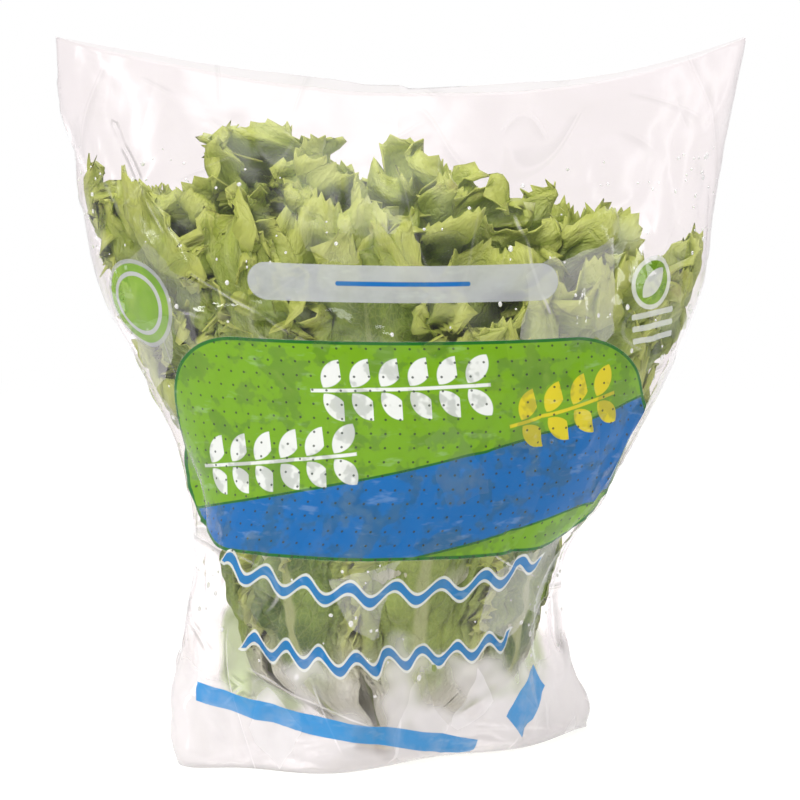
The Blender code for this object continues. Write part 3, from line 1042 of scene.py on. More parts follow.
    def wave(self, cut: Stencil, place: object, middle: tuple, half: float, pitch: float) -> object:
        """Measures from a waved line that rises towards its ends.

        Args:
            cut: what cuts its masks.
            place: the place on the film's map.
            middle: the line's middle.
            half: half its length.
            pitch: the length of one wave.

        Returns:
            The distance from the line.
        """
        w = cut.w
        across, up, _ = w.parts(cut.seen_from(place, middle))
        swing = w.times(w.maths("SINE", w.times(across, TAU / pitch)), self.wave_swing)
        rise = w.times(w.times(across, across), self.wave_rise)
        away = w.maths("ABSOLUTE", w.maths("SUBTRACT", w.maths("SUBTRACT", up, rise), swing))
        beyond = w.maths("SUBTRACT", w.maths("ABSOLUTE", across), half)
        return w.maths("ADD", away, w.larger(beyond, 0.0))

    def perforations(self, w: Wiring, place: object) -> object:
        """The mask of small holes in even rows."""
        each = 1 / self.hole_pitch
        cell = w.vector("FRACTION", w.stretched(place, (each, each, 0.0)))
        return w.fall(w.vector("LENGTH", w.vector("SUBTRACT", cell, (0.5, 0.5, 0.0))), *self.hole_range)


class FilmFace(Enum):
    """The kinds of film face, in the order of the film's material slots."""

    PRINTED = 0
    CLEAR = 1
    INNER = 2


@dataclass(frozen=True)
class FilmFinish:
    """Thin glossy film: see-through, with faint haze, fine crumples, and ink where it is printed.

    Places are metres round the sleeve from its front middle and metres up it.
    """

    clear: tuple = (0.990, 0.9720, 0.9745, 1.0)
    edge_tint: tuple = (0.90, 0.88, 0.885, 1.0)
    # Painted shade beside the creases, and the share of a painted highlight along them
    crease_shade: tuple = (0.42, 0.42, 0.41, 1.0)
    painted_crease_shade_share: float = 0.60
    painted_crease_highlight: float = 0.32
    back_green: tuple = (0.42, 0.66, 0.10, 1.0)
    back_share: float = 0.60
    back_patch: tuple = ((0.177, 0.038), (0.026, 0.027), 0.0200)
    passing: tuple = (0.955, 0.950, 0.950, 1.0)
    shine: tuple = (1.0, 1.0, 1.0, 1.0)
    haze: tuple = (0.735, 0.698, 0.708, 1.0)
    haze_share: float = 0.008
    misted_share: float = 0.060
    mist_scale: float = 26.0
    stuck_share: float = 0.27
    stuck_top: tuple = (0.235, 0.275)
    foot_haze: float = 0.72
    foot_range: tuple = (0.064, 0.096)
    foot_slant: float = 0.13
    foot_wander: float = 0.10
    roughness: float = 0.07
    slack_roughness: float = 0.26
    slack_range: tuple = (0.225, 0.272)
    facing_shine: float = 0.026
    # Painted highlight: the pale colour of streaks along the print's ripples
    painted_highlight_ink: tuple = (0.78, 0.86, 0.80, 1.0)
    painted_highlight_share: float = 0.09
    # Painted shade: the dark colour of clouds that stand for the leaves' shadow behind the panel
    painted_shade_ink: tuple = (0.006, 0.045, 0.030, 1.0)
    painted_shade_share: float = 0.26
    ink_roughness: float = 0.20
    ink_specular: float = 0.22
    crease_fade: tuple = (0.165, 0.215)
    crease_sets: tuple = (
        (0.0, (1.0, 0.22, 1.0), 15.0),
        (3.7, (0.38, 1.0, 1.0), 13.0),
    )
    fold_wander: float = 0.0090
    long_folds: tuple = (
        ((-0.066, 0.2130), -27.0, 0.036),
        ((-0.074, 0.2030), -13.0, 0.030),
        ((-0.020, 0.1975), -4.0, 0.030),
        ((0.062, 0.2300), -72.0, 0.036),
        ((-0.120, 0.2700), -63.0, 0.030),
        ((-0.086, 0.0560), -38.0, 0.034),
        ((-0.052, 0.0420), 28.0, 0.026),
        ((0.094, 0.0620), 52.0, 0.030),
    )
    ripple_scale: float = 105.0
    ripple_share: float = 0.22
    ripple_depth: float = 0.0012
    crumple_scale: float = 34.0
    crumple_depth: float = 0.0038

    def materials(self) -> list:
        """Builds the film's materials.

        Returns:
            One for each kind of face, in their order.
        """
        painted_crease_light_and_mist, ink = self.painted_crease_light_and_mist(), SleevePrint().group()
        return [self.material(face, painted_crease_light_and_mist, ink) for face in FilmFace]

    def painted_crease_light_and_mist(self) -> bpy.types.NodeTree:
        """Builds the node group of what all of the film shows.

        Returns:
            The group, which gives the painted highlight lines and the painted shade lines of chance creases,
            the mist with the whiter foot, and the height of ripples.
        """
        outputs = dict.fromkeys(("Bright", "Dark", "Mist", "Ripples"), "Float")
        w, entry, leave = new_group("film wear", {"Place": "Vector", "Foot Haze": "Float"}, outputs)
        place = entry["Place"]
        round_it, up, _ = w.parts(place)
        patches = w.noise(place, self.mist_scale, 2.0, 0.6)
        mist = w.remap(patches, 0.50, 0.78, self.haze_share, self.misted_share)
        corner = w.sloped(w.maths("ABSOLUTE", round_it), -self.foot_slant, up)
        corner = w.sloped(patches, self.foot_wander, corner)
        low = w.remap(corner, *self.foot_range, entry["Foot Haze"], 0.0)
        bright, dark = self.creases(w, place, up)
        w.feed(leave, "Bright", bright)
        w.feed(leave, "Dark", dark)
        w.feed(leave, "Mist", w.maths("ADD", mist, low))
        ripples = w.noise(w.stretched(place, (0.30, 1.0, 1.0)), self.ripple_scale, 2.0, 0.55)
        w.feed(leave, "Ripples", ripples)
        return w.tree

    def creases(self, w: Wiring, place: object, up: object) -> tuple:
        """Paints chance creases as highlight lines with painted shade beside them, which fade towards the
        top.

        Args:
            w: the group's wiring.
            place: the place on the film's map.
            up: how far up the sleeve it is.

        Returns:
            The mask of the bright lines, and that of the dark lines beside them.
        """
        fade = w.fall(up, *self.crease_fade, 0.20)
        bright, dark = 0.0, 0.0
        for moved, stretch, scale in self.crease_sets:
            laid = w.stretched(w.vector("ADD", place, (moved, moved, 0.0)), stretch)
            signed = w.maths("SUBTRACT", w.noise(laid, scale, 0.0), 0.5)
            some = w.remap(w.noise(w.vector("ADD", place, (moved, 0.0, 0.0)), 24.0, 1.0), 0.50, 0.60)
            some = w.times(some, fade)
            # Painted highlight along each crease, and painted shade on its flank
            line = w.fall(w.maths("ABSOLUTE", signed), 0.001, 0.0055)
            flank = w.times(w.remap(signed, 0.004, 0.009), w.fall(signed, 0.010, 0.034))
            bright = w.larger(bright, w.times(line, some))
            dark = w.larger(dark, w.times(flank, some))
        return bright, dark

    def folds(self, w: Wiring, place: object) -> tuple:
        """Paints the long folds of the printed face as highlight lines with painted shade beside them, broken
        here and there.

        Args:
            w: the material's wiring.
            place: the place on the film's map.

        Returns:
            The mask of the bright lines, and that of the dark lines beside them.
        """
        moved = w.wandering(place, 24.0, self.fold_wander)
        nearest = 1.0
        for middle, degrees, half in self.long_folds:
            run, aside, _ = w.parts(w.vector("ABSOLUTE", Stencil(w).turned(moved, middle, degrees)))
            beyond = w.larger(w.maths("SUBTRACT", run, half), 0.0)
            nearest = w.smaller(nearest, w.maths("ADD", aside, beyond))
        broken = w.remap(w.noise(place, 70.0, 1.0), 0.38, 0.62, 0.0, 0.85)
        flank = w.times(w.remap(nearest, 0.0008, 0.0012), w.fall(nearest, 0.0018, 0.0032))
        return w.times(w.fall(nearest, 0.0003, 0.0009), broken), w.times(flank, broken)

    def material(
        self, face: FilmFace, painted_crease_light_and_mist: bpy.types.NodeTree, ink: bpy.types.NodeTree
    ) -> bpy.types.Material:
        """Builds the film's material for one kind of face.

        Args:
            face: the kind of face.
            painted_crease_light_and_mist: the node group of what all of the film shows.
            ink: the print's node group.

        Returns:
            The material.
        """
        material, w, output = blank_material(f"film {face.name.lower()}")
        grazing = w.grazing()
        clear = w.mix(w.remap(grazing, 0.45, 1.0), self.clear, self.edge_tint)
        if face is FilmFace.INNER:
            film = w.shader("Transparent", {"Color": clear})
        else:
            place = w.own_map()
            foot_haze = self.foot_haze if face is FilmFace.PRINTED else self.foot_haze * 0.5
            painted_light_marks = w.node("Group", {"Place": place, "Foot Haze": foot_haze}, node_tree=painted_crease_light_and_mist).outputs
            bright, dark, mist = painted_light_marks["Bright"], painted_light_marks["Dark"], painted_light_marks["Mist"]
            if face is FilmFace.PRINTED:
                # The long folds' painted highlight and painted shade lines join those of the creases
                ridge, flank = self.folds(w, place)
                bright, dark = w.larger(bright, ridge), w.larger(dark, flank)
                stuck = w.times(self.stuck_patches(w, place), w.fall(w.parts(place)[1], *self.stuck_top))
                mist = w.maths("ADD", mist, w.times(stuck, self.stuck_share))
            # Painted shade darkens the film beside the creases, and a painted highlight whitens the haze
            # along them
            clear = w.mix(w.times(dark, self.painted_crease_shade_share), clear, self.crease_shade)
            mist = w.maths("ADD", mist, w.times(bright, self.painted_crease_highlight), clamp=True)
            film = w.shader("Transparent", {"Color": clear})
            film = w.shade(mist, film, w.shader("Diffuse", {"Color": self.haze}))
            if face is FilmFace.CLEAR:
                film = self.tinted(w, place, film)
            normal = self.crumples(w, place, face, painted_light_marks["Ripples"])
            slack = w.remap(w.parts(place)[1], *self.slack_range, self.roughness, self.slack_roughness)
            shine = w.shader("Glossy", {"Color": self.shine, "Roughness": slack, "Normal": normal})
            film = w.shade(w.shine_share(grazing, self.facing_shine, 5.0), film, shine)
            if face is FilmFace.PRINTED:
                film = self.inked(w, place, film, normal, ink)
        # Only what the camera sees needs the whole film; light passes it as plain tinted film
        plain = w.shader("Transparent", {"Color": self.passing})
        w.feed(output, "Surface", w.shade(w.is_seen(), plain, film))
        return material

    def stuck_patches(self, w: Wiring, place: object) -> object:
        """The mask of the flat patches, of chance strength, where the film clings to the wet leaves."""
        cells = w.cells(w.stretched(w.wandering(place, 30.0, 0.012), (1.0, 0.70, 1.0)), 42.0)
        return w.remap(w.parts(cells.outputs["Color"])[0], 0.74, 0.97)

    def tinted(self, w: Wiring, place: object, film: object) -> object:
        """Adds the back's two soft green patches, one on either side.

        Args:
            w: the material's wiring.
            place: the place on the film's map.
            film: the veiled film's shader.

        Returns:
            The shader.
        """
        either_side = w.stretched(w.vector("ABSOLUTE", place), (1.0, 1.0, 0.0))
        patch = Stencil(w, soft=0.003).box(either_side, *self.back_patch)
        tint = w.shader("Diffuse", {"Color": self.back_green})
        return w.shade(w.times(patch, self.back_share), film, tint)

    def crumples(self, w: Wiring, place: object, face: FilmFace, ripples: object) -> object:
        """Makes small creases and ripples, calmer over the head's top and stronger at the foot.

        Args:
            w: the material's wiring.
            place: the place on the film's map.
            face: the kind of face.
            ripples: the ripples' height.

        Returns:
            The normal.
        """
        if face is FilmFace.CLEAR:
            return w.bump(ripples, 0.60, self.ripple_depth)
        up = w.parts(place)[1]
        calm = w.times(w.fall(up, 0.200, 0.260, 0.30), w.remap(up, 0.050, 0.110, 1.9, 1.0))
        ridges = w.cell_edges(w.stretched(place, (1.0, 0.6, 1.0)), self.crumple_scale)
        folds = w.sloped(ripples, self.ripple_share, w.smaller(ridges, 0.22))
        return w.bump(w.times(folds, calm), 0.60, self.crumple_depth)

    def inked(self, w: Wiring, place: object, film: object, normal: object, ink: object) -> object:
        """Lays the print over the film, with streaks of painted highlight, and with painted shade in clouds
        where it touches the leaves.

        Args:
            w: the material's wiring.
            place: the place on the film's map.
            film: the film's shader.
            normal: its normal.
            ink: the print's node group.

        Returns:
            The shader.
        """
        printed = w.node("Group", {"Place": place}, node_tree=ink).outputs
        streaks = w.noise(w.stretched(place, (0.36, 1.0, 1.0)), 150.0, 3.0, 0.6)
        clouds = w.noise(place, 62.0, 3.0, 0.62)
        # Painted highlight: pale streaks stand for the sheen along the print's ripples
        painted_light_marks = w.times(w.remap(streaks, 0.60, 0.76), self.painted_highlight_share)
        # Painted shade: darker clouds on the panel stand for the leaves' shadow seen through the ink
        painted_shade = w.times(w.times(w.fall(clouds, 0.43, 0.50), printed["Panel"]), self.painted_shade_share)
        colour = w.mix(painted_shade, w.mix(painted_light_marks, printed["Ink"], self.painted_highlight_ink), self.painted_shade_ink)
        feeds = {"Base Color": colour, "Roughness": self.ink_roughness, "Normal": normal}
        paint = w.shader("Principled", feeds | {"Specular IOR Level": self.ink_specular})
        cover = w.remap(clouds, 0.30, 0.62, 0.90, 1.04)
        return w.shade(w.maths("MULTIPLY", printed["Cover"], cover, clamp=True), film, paint)


@dataclass(frozen=True)
class DropFinish:
    """Clear water: see-through, with a painted glint in white over half of it, and a glossy skin."""

    water: tuple = (0.93, 0.95, 0.94, 1.0)
    glint: tuple = (0.97, 0.98, 0.98, 1.0)
    glint_share: float = 0.50
    facing_shine: float = 0.05
    roughness: float = 0.08

    def material(self) -> bpy.types.Material:
        """Builds the water's material."""
        material, w, output = blank_material("water")
        through = w.shader("Transparent", {"Color": self.water})
        # Painted highlight: diffuse white stands for the beads' glints
        body = w.shade(self.glint_share, through, w.shader("Diffuse", {"Color": self.glint}))
        shine = w.shader("Glossy", {"Roughness": self.roughness})
        share = w.shine_share(w.grazing(), self.facing_shine, 3.0)
        w.feed(output, "Surface", w.shade(share, body, shine))
        return material


# Sub-assemblies


@dataclass
class EscaroleHead:
    """Every leaf of the head, and its cut stem."""

    outer: Whorl = Whorl(
        seed=13, count=7, turn=-0.50, half_angle=0.490, share=0.922, foot_share=0.505, foot_height=0.0055,
        tip_heights=(0.170, 0.210), ruffle=0.060, waves=21.0, rib=0.0052, tuck=0.050, curl=0.050, tone=0.14,
    )
    middle: Whorl = Whorl(
        seed=14, count=7, turn=0.00, half_angle=0.490, share=0.785, foot_share=0.395, foot_height=0.0135,
        tip_heights=(0.228, 0.262), ruffle=0.056, waves=19.0, rib=0.0052, tuck=0.049, curl=0.200, tone=0.34,
    )
    heart: tuple = (
        Whorl(
            seed=3, count=9, turn=0.25, half_angle=0.400, share=0.565, foot_share=0.430, foot_height=0.105,
            tip_heights=(0.236, 0.268), ruffle=0.055, waves=20.0, rib=0.0024, tuck=0.030, curl=0.170,
            tone=0.50,
        ),
        Whorl(
            seed=4, count=7, turn=0.75, half_angle=0.480, share=0.470, foot_share=0.360, foot_height=0.145,
            tip_heights=(0.250, 0.276), ruffle=0.060, waves=20.0, rib=0.0020, tuck=0.040, curl=0.120,
            tone=0.60,
        ),
        Whorl(
            seed=5, count=5, turn=0.10, half_angle=0.600, share=0.330, foot_share=0.230, foot_height=0.168,
            tip_heights=(0.256, 0.278), ruffle=0.060, waves=19.0, rib=0.0018, tuck=0.035, curl=0.100,
            tone=0.70,
        ),
        Whorl(
            seed=6, count=3, turn=0.60, half_angle=0.760, share=0.170, foot_share=0.100, foot_height=0.180,
            tip_heights=(0.254, 0.274), ruffle=0.055, waves=18.0, rib=0.0016, tuck=0.020, curl=0.060,
            tone=0.80,
        ),
    )
    short: Whorl = Whorl(
        seed=27, count=13, turn=0.50, half_angle=0.270, share=0.880, foot_share=0.450, foot_height=0.060,
        tip_heights=(0.208, 0.262), ruffle=0.070, waves=23.0, rib=0.0020, tuck=0.025, curl=0.110, tone=0.50,
    )
    large_grid: tuple = (116, 54)
    heart_grid: tuple = (66, 42)
    short_grid: tuple = (74, 34)

    def build(self) -> list:
        """Builds and dresses every leaf and the stem.

        Returns:
            The pieces.
        """
        builder = LeafBuilder()
        skin = LeafFinish().material()
        pieces = []
        for label, whorl in (("outer_leaf", self.outer), ("middle_leaf", self.middle)):
            for number, leaf in enumerate(whorl.leaves(), start=1):
                piece = builder.build(f"{label}_blade_{number}", leaf, *self.large_grid)
                self.dress(piece, skin)
                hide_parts(f"{label}_{number}")
                pieces.append(piece)
        for number, whorl in enumerate(self.heart, start=1):
            pieces.append(self.ring(builder, skin, f"heart_ring_{number}", whorl, self.heart_grid))
        pieces.append(self.ring(builder, skin, "heart_ring_short", self.short, self.short_grid))
        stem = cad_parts["cut_stem"]
        stem.data.materials.clear()
        stem.data.materials.append(StemFinish().material())
        return pieces

    def ring(
        self, builder: LeafBuilder, skin: bpy.types.Material, name: str, whorl: Whorl, grid: tuple
    ) -> bpy.types.Object:
        """Builds a whorl of the heart as one piece, which stands for the solid heart.

        Args:
            builder: what builds its leaves.
            skin: the leaves' material.
            name: the piece's name.
            whorl: the whorl.
            grid: faces from foot to tip and from edge to edge.

        Returns:
            The piece.
        """
        blades = [builder.build(f"{name}_{n}", leaf, *grid) for n, leaf in enumerate(whorl.leaves())]
        select_only(*blades)
        bpy.ops.object.join()
        ring = bpy.context.object
        ring.name = name
        self.dress(ring, skin)
        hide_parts("heart_leaves")
        return ring

    def dress(self, piece: bpy.types.Object, skin: bpy.types.Material) -> None:
        """Gives a piece its material and its place in the frame.

        Args:
            piece: the piece.
            skin: its material.
        """
        piece.data.materials.clear()
        piece.data.materials.append(skin)
        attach(piece, "root")


@dataclass
class FilmSleeve:
    """The open film sleeve round the head, gathered under it, with sharp creases and soft folds.

    On its map, u is metres round it from its front middle and v is metres up it. A set of facets has a
    depth, a facet's size along u and v, and a turn. A crease has a start and an end on the map, a bow, a
    width and a depth.
    """

    height: float = 0.332
    wall: float = 0.00030
    columns: int = 232
    rows: int = 126
    foot_rows: int = 8
    foot_span: float = 0.05
    rim_dip: float = 0.024
    rim_dip_skew: float = 0.30
    fold_depth: float = 0.0012
    skirt_turn: float = 0.42
    skirt_wave: float = 0.0075
    skirt_waves: int = 6
    skirt_fade: float = 6.0
    seed: int = 9
    printed_share: float = 0.56
    facet_table: int = 64
    facet_warp: float = 0.35
    side_start: float = 0.070
    low_end: float = 0.36
    high_start: float = 0.72
    strengths: tuple = (0.30, 0.45, 0.75, 0.35)
    facet_sets: tuple = (
        (0.0026, (0.046, 0.105), 0.30),
        (0.0014, (0.021, 0.050), -0.35),
        (0.0005, (0.009, 0.018), 0.8),
    )
    gather_sets: tuple = (
        (0.0046, (0.018, 0.110), 0.05),
        (0.0026, (0.013, 0.026), 0.6),
    )
    keep_foot: float = 0.006
    long_creases: tuple = (
        (-0.104, 0.207, 0.000, 0.200, -0.0120, 0.0024, 0.0034),
        (-0.098, 0.214, -0.010, 0.190, -0.0150, 0.0020, -0.0022),
        (-0.070, 0.205, 0.020, 0.196, -0.0060, 0.0018, 0.0024),
        (-0.030, 0.300, -0.022, 0.246, 0.0030, 0.0020, 0.0020),
        (0.050, 0.262, 0.118, 0.272, 0.0090, 0.0022, 0.0026),
        (0.150, 0.205, 0.098, 0.105, 0.0060, 0.0026, 0.0038),
        (0.162, 0.180, 0.112, 0.070, 0.0040, 0.0022, -0.0030),
        (0.138, 0.150, 0.085, 0.060, 0.0050, 0.0022, 0.0026),
        (-0.150, 0.190, -0.112, 0.105, -0.0040, 0.0024, 0.0034),
        (-0.135, 0.165, -0.090, 0.070, -0.0050, 0.0022, -0.0028),
        (-0.118, 0.130, -0.080, 0.055, -0.0030, 0.0020, 0.0026),
        (-0.150, 0.300, -0.110, 0.235, 0.0060, 0.0024, 0.0024),
        (-0.080, 0.318, -0.055, 0.240, -0.0040, 0.0020, -0.0018),
        (0.080, 0.310, 0.100, 0.240, 0.0060, 0.0022, 0.0022),
        (0.130, 0.290, 0.150, 0.220, 0.0050, 0.0024, -0.0022),
    )
    stray_creases: int = 70
    stray_spread: float = 0.30
    stray_top: float = 0.32
    stray_lowness: float = 1.4
    stray_length: tuple = (0.018, 0.065)
    stray_lean: float = 0.7
    stray_depth: tuple = (0.0008, 0.0024)
    stray_bow: float = 0.006
    stray_width: tuple = (0.0016, 0.0030)

    def form(self, row: np.ndarray, turn: np.ndarray) -> np.ndarray:
        """The sleeve's main form, which the solid one has too.

        Args:
            row: share of the way from foot to rim.
            turn: share of the way round.

        Returns:
            The points, with a last axis of three.
        """
        middle, half_width, half_depth, crease = SLEEVE.at(row)
        angle = TAU * turn
        across, side = np.cos(angle), np.sin(angle)
        x = middle + half_width * across
        skirt = (1.0 - row) ** self.skirt_fade
        fold = self.fold_depth * np.sin(5 * angle + 7.0 * row) * np.sin(math.pi * row)
        wave = self.skirt_wave * skirt * np.sin(self.skirt_waves * angle)
        depth = half_depth * np.abs(side) ** crease + (fold + wave) * np.abs(side)
        y = np.copysign(depth, side) + self.skirt_turn * skirt * (x - middle)
        dip = self.rim_dip * (1.0 - across**2) * (1.0 + self.rim_dip_skew * across)
        return np.stack((x, y, row * (self.height - dip * row**4)), axis=-1)

    def facets(self, u: np.ndarray, v: np.ndarray, size: tuple, turn: float, seed: int) -> np.ndarray:
        """Flat facets that meet in sharp creases, on a turned and warped net.

        Args:
            u: places round the sleeve.
            v: places up it.
            size: a facet's size along the net's two ways.
            turn: the net's turn.
            seed: the seed of its draws.

        Returns:
            The facets' heights, -1 to 1.
        """
        count = self.facet_table
        table = np.random.default_rng(seed).uniform(-1.0, 1.0, (count, count))
        warp = SoftNoise(seed)
        bent_u = u + self.facet_warp * size[0] * warp.at(u, v, size[0] * 3.0)
        bent_v = v + self.facet_warp * size[1] * warp.at(v + 3.0, u, size[1] * 3.0)
        a = (bent_u * math.cos(turn) + bent_v * math.sin(turn)) / size[0]
        b = (-bent_u * math.sin(turn) + bent_v * math.cos(turn)) / size[1]
        cell_a, cell_b = np.floor(a).astype(int), np.floor(b).astype(int)
        fa, fb = a - cell_a, b - cell_b
        corner, right, above, far = (
            table[(cell_a + i) % count, (cell_b + j) % count] for i, j in ((0, 0), (1, 0), (0, 1), (1, 1))
        )
        low = corner + (right - corner) * fa + (far - right) * fb
        high = corner + (far - above) * fa + (above - corner) * fb
        return np.where(fa > fb, low, high)

    def creased(self, points: np.ndarray, u: np.ndarray, row: np.ndarray) -> np.ndarray:
        """Adds the creases: strong low down and at the sides, slight where the head fills the film.

        Args:
            points: the sleeve's points, row by row.
            u: their places round it.
            row: their share of the way from foot to rim.

        Returns:
            The points, moved off the sleeve's form.
        """
        v = row * self.height
        side = smoothstep((np.abs(u) - self.side_start) / 0.070)
        low = smoothstep((self.low_end - row) / 0.22)
        high = smoothstep((row - self.high_start) / 0.15)
        parts = zip(self.strengths, (1.0, side, low, high))
        strength = sum(share * part for share, part in parts)
        weights = (strength, strength, strength, low**2, low)
        rise = sum(self.crease(u, v, line) for line in self.long_creases + self.strays())
        for order, (depth, size, turn) in enumerate(self.facet_sets + self.gather_sets):
            rise += depth * weights[order] * self.facets(u, v, size, turn, self.seed + order)
        return points + surface_normals(points) * (rise * smoothstep(v / self.keep_foot))[..., None]

    def crease(self, u: np.ndarray, v: np.ndarray, line: tuple) -> np.ndarray:
        """One crease, sharp along its top and fading at its ends.

        Args:
            u: places round the sleeve.
            v: places up it.
            line: the crease.

        Returns:
            How far each place stands out.
        """
        start_u, start_v, end_u, end_v, bow, width, depth = line
        run_u, run_v = end_u - start_u, end_v - start_v
        length = math.hypot(run_u, run_v)
        along = ((u - start_u) * run_u + (v - start_v) * run_v) / length**2
        aside = ((u - start_u) * run_v - (v - start_v) * run_u) / length
        held = np.clip(along, 0.0, 1.0)
        away = np.abs(aside - bow * 4.0 * held * (1.0 - held)) + np.abs(along - held) * length
        return depth * np.sin(math.pi * held) ** 0.5 * np.exp(-away / width)

    def strays(self) -> tuple:
        """Draws short creases at chance places, most of them upright, and more of them low down.

        Returns:
            The creases.
        """
        rng = random.Random(self.seed + 40)
        creases = []
        for _ in range(self.stray_creases):
            u = rng.uniform(-self.stray_spread, self.stray_spread)
            v = self.stray_top * rng.uniform(0.0, 1.0) ** self.stray_lowness
            length, lean = rng.uniform(*self.stray_length), rng.gauss(0.0, self.stray_lean)
            end = (u + length * math.sin(lean), v + length * math.cos(lean))
            depth = rng.choice((-1.0, 1.0)) * rng.uniform(*self.stray_depth)
            bow = rng.uniform(-self.stray_bow, self.stray_bow)
            creases.append((u, v, *end, bow, rng.uniform(*self.stray_width), depth))
        return tuple(creases)

    def points(self) -> tuple:
        """The film's outer face, from the middle of the foot to the rim.

        Returns:
            A grid of points, row by row, and each point's place on the map.
        """
        up = np.linspace(0.0, 1.0, self.rows + 1)
        turn = np.linspace(0.25, 1.25, self.columns + 1)
        row, turns = np.meshgrid(up, turn, indexing="ij")
        wall = self.form(row, turns)
        steps = np.linalg.norm(np.diff(wall, axis=1), axis=2)
        u = np.concatenate((np.zeros((len(up), 1)), np.cumsum(steps, axis=1)), axis=1)
        u -= u[:, self.columns // 2, None]
        wall = self.creased(wall, u, row)
        shrink = np.linspace(0.0, 1.0, self.foot_rows, endpoint=False)[:, None, None]
        middle = wall[0].mean(axis=0)
        foot = middle + (wall[0] - middle) * shrink
        foot[..., 2] = 0.0
        places = np.concatenate((foot, wall))
        places[:, self.columns] = places[:, 0]
        below = np.repeat(shrink[..., 0] - 1.0, len(turn), axis=1) * self.foot_span
        map_u = np.concatenate((u[:1] * shrink[..., 0], u))
        return places, np.stack((map_u, np.concatenate((below, row * self.height))), axis=-1)

    def build(self) -> bpy.types.Object:
        """Models the film.

        Returns:
            The film with its seam closed, its wall and its materials.
        """
        made, column, row = grid_primitive("film_sleeve_fine", self.columns, self.rows + self.foot_rows)
        points, place = self.points()
        set_points(made, points[row, column] + np.array(SHIFT))
        corners = np.empty(len(made.data.loops), np.int32)
        made.data.loops.foreach_get("vertex_index", corners)
        uv = place[row, column][corners]
        made.data.uv_layers.active.data.foreach_set("uv", np.ascontiguousarray(uv, np.float32).ravel())
        turn = column[corners].reshape(-1, 4).mean(axis=1) / self.columns
        is_front = np.abs(turn - 0.5) < self.printed_share / 2.0
        finish = np.where(is_front, FilmFace.PRINTED.value, FilmFace.CLEAR.value).astype(np.int32)
        made.data.materials.clear()
        for material in FilmFinish().materials():
            made.data.materials.append(material)
        made.data.polygons.foreach_set("material_index", finish)
        select_only(made)
        bpy.ops.object.mode_set(mode="EDIT")
        bpy.ops.mesh.select_all(action="SELECT")
        bpy.ops.mesh.remove_doubles(threshold=0.00002)
        bpy.ops.mesh.normals_make_consistent(inside=False)
        bpy.ops.object.mode_set(mode="OBJECT")
        wall = made.modifiers.new("film wall", "SOLIDIFY")
        wall.thickness = self.wall
        wall.offset = -1.0
        wall.material_offset = FilmFace.INNER.value
        apply_modifiers(made)
        made.data.shade_smooth()
        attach(made, "root")
        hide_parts("film_sleeve")
        return made


@dataclass
class WaterDrops:
    """Beads of water on the inside of the film, from above its foot to below its rim."""

    count: int = 520
    radius: tuple = (0.00045, 0.00125)
    flatness: float = 0.55
    stretch: tuple = (0.8, 1.5)
    low: float = 0.10
    high: float = 0.86
    highness: float = 0.8
    smallness: float = 2.2
    inset: float = 0.0005
    seed: int = 77

    def build(self, sleeve: FilmSleeve) -> bpy.types.Object:
        """Models one bead, copies it to chance places on the film and joins the copies.

        Args:
            sleeve: the sleeve that the beads hang on.

        Returns:
            The beads as one piece.
        """
        bpy.ops.object.select_all(action="DESELECT")
        bpy.ops.mesh.primitive_uv_sphere_add(segments=8, ring_count=4, radius=1.0, location=(0, 0, 0))
        bead = bpy.context.object
        bead.name = "water_drops"
        bead.data.materials.append(DropFinish().material())
        first, *others = self.moves(sleeve)
        copies = [linked_copy(bead.name, bead.data.copy()) for _ in others]
        for copy, move in zip([bead] + copies, [first] + others):
            copy.data.transform(move)
        select_only(bead, *copies)
        bpy.ops.object.join()
        bead.data.shade_smooth()
        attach(bead, "root")
        return bead

    def moves(self, sleeve: FilmSleeve) -> list:
        """Draws the beads' places and sizes.

        Args:
            sleeve: the sleeve that the beads hang on.

        Returns:
            A matrix for each bead, which takes a ball one metre in radius to its place and size.
        """
        places, _ = sleeve.points()
        wall = places[sleeve.foot_rows:]
        normals = surface_normals(wall)
        rng = random.Random(self.seed)
        moves = []
        for _ in range(self.count):
            row = int(blend(self.low, self.high, rng.random() ** self.highness) * sleeve.rows)
            column = rng.randrange(sleeve.columns)
            size = blend(*self.radius, rng.random() ** self.smallness)
            inwards = -Vector(normals[row, column])
            place = Vector(wall[row, column]) + inwards * (self.inset + size * self.flatness) + SHIFT
            scale = Matrix.Diagonal((size, size * rng.uniform(*self.stretch), size * self.flatness, 1.0))
            turn = inwards.to_track_quat("Z", "Y").to_matrix().to_4x4()
            moves.append(Matrix.Translation(place) @ turn @ scale)
        return moves


# Studio


class Softbox(Enum):
    """The studio's lights: place, target, width, height and power in watts."""

    KEY = ((-1.35, -0.75, 0.95), (0.0, 0.0, 0.17), 0.18, 1.00, 11.0)
    FILL = ((1.40, -0.70, 0.60), (0.0, 0.0, 0.17), 0.14, 1.10, 5.0)
    FRONT = ((-0.30, -1.10, 1.50), (0.0, 0.0, 0.17), 1.00, 0.70, 16.0)
    TOP = ((0.0, 0.05, 1.35), (0.0, 0.0, 0.15), 1.20, 0.90, 10.0)
    REAR = ((0.35, 1.20, 0.75), (0.0, 0.0, 0.20), 1.20, 0.80, 7.0)
    BACKDROP = ((0.0, 1.10, 1.70), (0.0, 2.70, 0.70), 2.40, 0.60, 11.0)


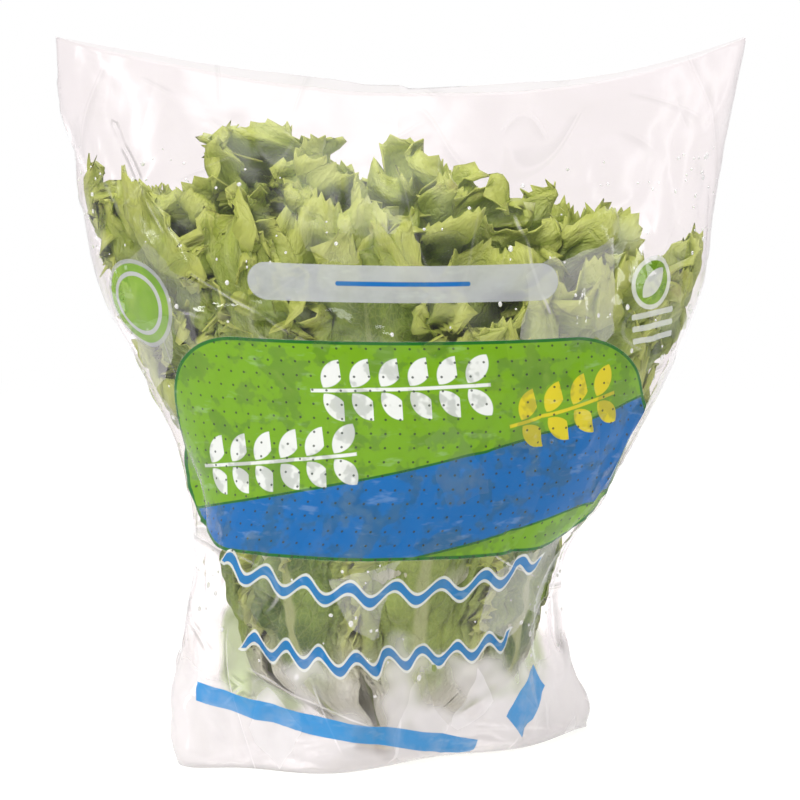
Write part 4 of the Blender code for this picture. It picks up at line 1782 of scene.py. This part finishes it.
@dataclass
class Studio:
    """Pale floor and backdrop, soft lights and the camera."""

    lens: float = 160.0
    distance: float = 1.655
    elevation: float = 7.0
    aim: tuple = (0.0, 0.0, 0.1638)
    world_strength: float = 0.36
    floor_rows: int = 40
    floor_front: float = 2.2
    floor_length: float = 6.0
    floor_half_width: float = 4.0
    floor_drop: float = 0.0002
    bend_start: float = 1.6
    bend_radius: float = 1.1
    paint: tuple = (0.60, 0.60, 0.60, 1.0)
    white: tuple = (1.0, 1.0, 1.0, 1.0)
    paint_roughness: float = 0.9
    paint_glow: float = 0.42
    fade_range: tuple = (0.60, 1.50)

    def build(self) -> None:
        """Sets up the stage."""
        self.floor()
        self.lights()
        self.camera()

    def floor(self) -> None:
        """A pale floor that sweeps up behind into a backdrop."""
        made, column, row = grid_primitive("studio_floor", 2, self.floor_rows)
        run = row / self.floor_rows * self.floor_length - self.floor_front
        past = run - self.bend_start
        angle = np.clip(past / self.bend_radius, 0.0, math.pi / 2)
        rise = np.maximum(past - self.bend_radius * math.pi / 2, 0.0)
        x = (column - 1.0) * self.floor_half_width
        y = np.minimum(run, self.bend_start) + self.bend_radius * np.sin(angle)
        z = self.bend_radius * (1.0 - np.cos(angle)) + rise - self.floor_drop
        set_points(made, np.stack((x, y, z), axis=-1))
        made.data.shade_smooth()
        material, w, output = blank_material("studio floor")
        feeds = {"Base Color": self.paint, "Roughness": self.paint_roughness}
        feeds |= {"Emission Color": self.white, "Emission Strength": self.paint_glow}
        paint = w.shader("Principled", feeds)
        # Far off, the floor fades to even white to the eye, so that no horizon shows
        even = w.node("Emission", {}).outputs[0]
        faded = w.remap(w.vector("LENGTH", w.own_place()), *self.fade_range)
        w.feed(output, "Surface", w.shade(w.times(faded, w.is_seen()), paint, even))
        made.data.materials.append(material)

    def lights(self) -> None:
        """Large soft lights, and an even pale surround."""
        for box in Softbox:
            place, target, width, depth, power = box.value
            lamp = bpy.data.lights.new(f"softbox_{box.name.lower()}", "AREA")
            lamp.shape, lamp.size, lamp.size_y, lamp.energy = "RECTANGLE", width, depth, power
            made = linked_copy(lamp.name, lamp)
            self.point(made, Vector(place), Vector(target))
        world = bpy.data.worlds.new("surround")
        world.use_nodes = True
        w = Wiring(world.node_tree)
        surround = world.node_tree.nodes["Background"]
        w.feed(surround, "Color", self.white)
        strength = w.sloped(w.is_seen(), 1.0 - self.world_strength, self.world_strength)
        w.feed(surround, "Strength", strength)
        bpy.context.scene.world = world
        bpy.context.scene.view_settings.view_transform = "Standard"

    def camera(self) -> None:
        """The camera, at the height and distance of the photograph's."""
        lens = bpy.data.cameras.new("camera")
        lens.lens = self.lens
        lens.clip_end = 20.0
        made = linked_copy("camera", lens)
        rise = math.radians(self.elevation)
        aim = Vector(self.aim)
        self.point(made, aim + Vector((0.0, -math.cos(rise), math.sin(rise))) * self.distance, aim)
        bpy.context.scene.camera = made

    def point(self, made: bpy.types.Object, place: Vector, target: Vector) -> None:
        """Puts a light or the camera at a place and turns it to its target."""
        made.location = place
        made.rotation_euler = (target - made.location).to_track_quat("-Z", "Y").to_euler()


def main() -> None:
    """Builds the studio and every piece, and reports them."""
    logging.basicConfig(level=logging.INFO, format="%(message)s")
    Studio().build()
    head = EscaroleHead().build()
    sleeve = FilmSleeve()
    for piece in (*head, sleeve.build(), WaterDrops().build(sleeve)):
        LOG.info("%s: %d faces", piece.name, len(piece.data.polygons))


if __name__ == "__main__":
    main()
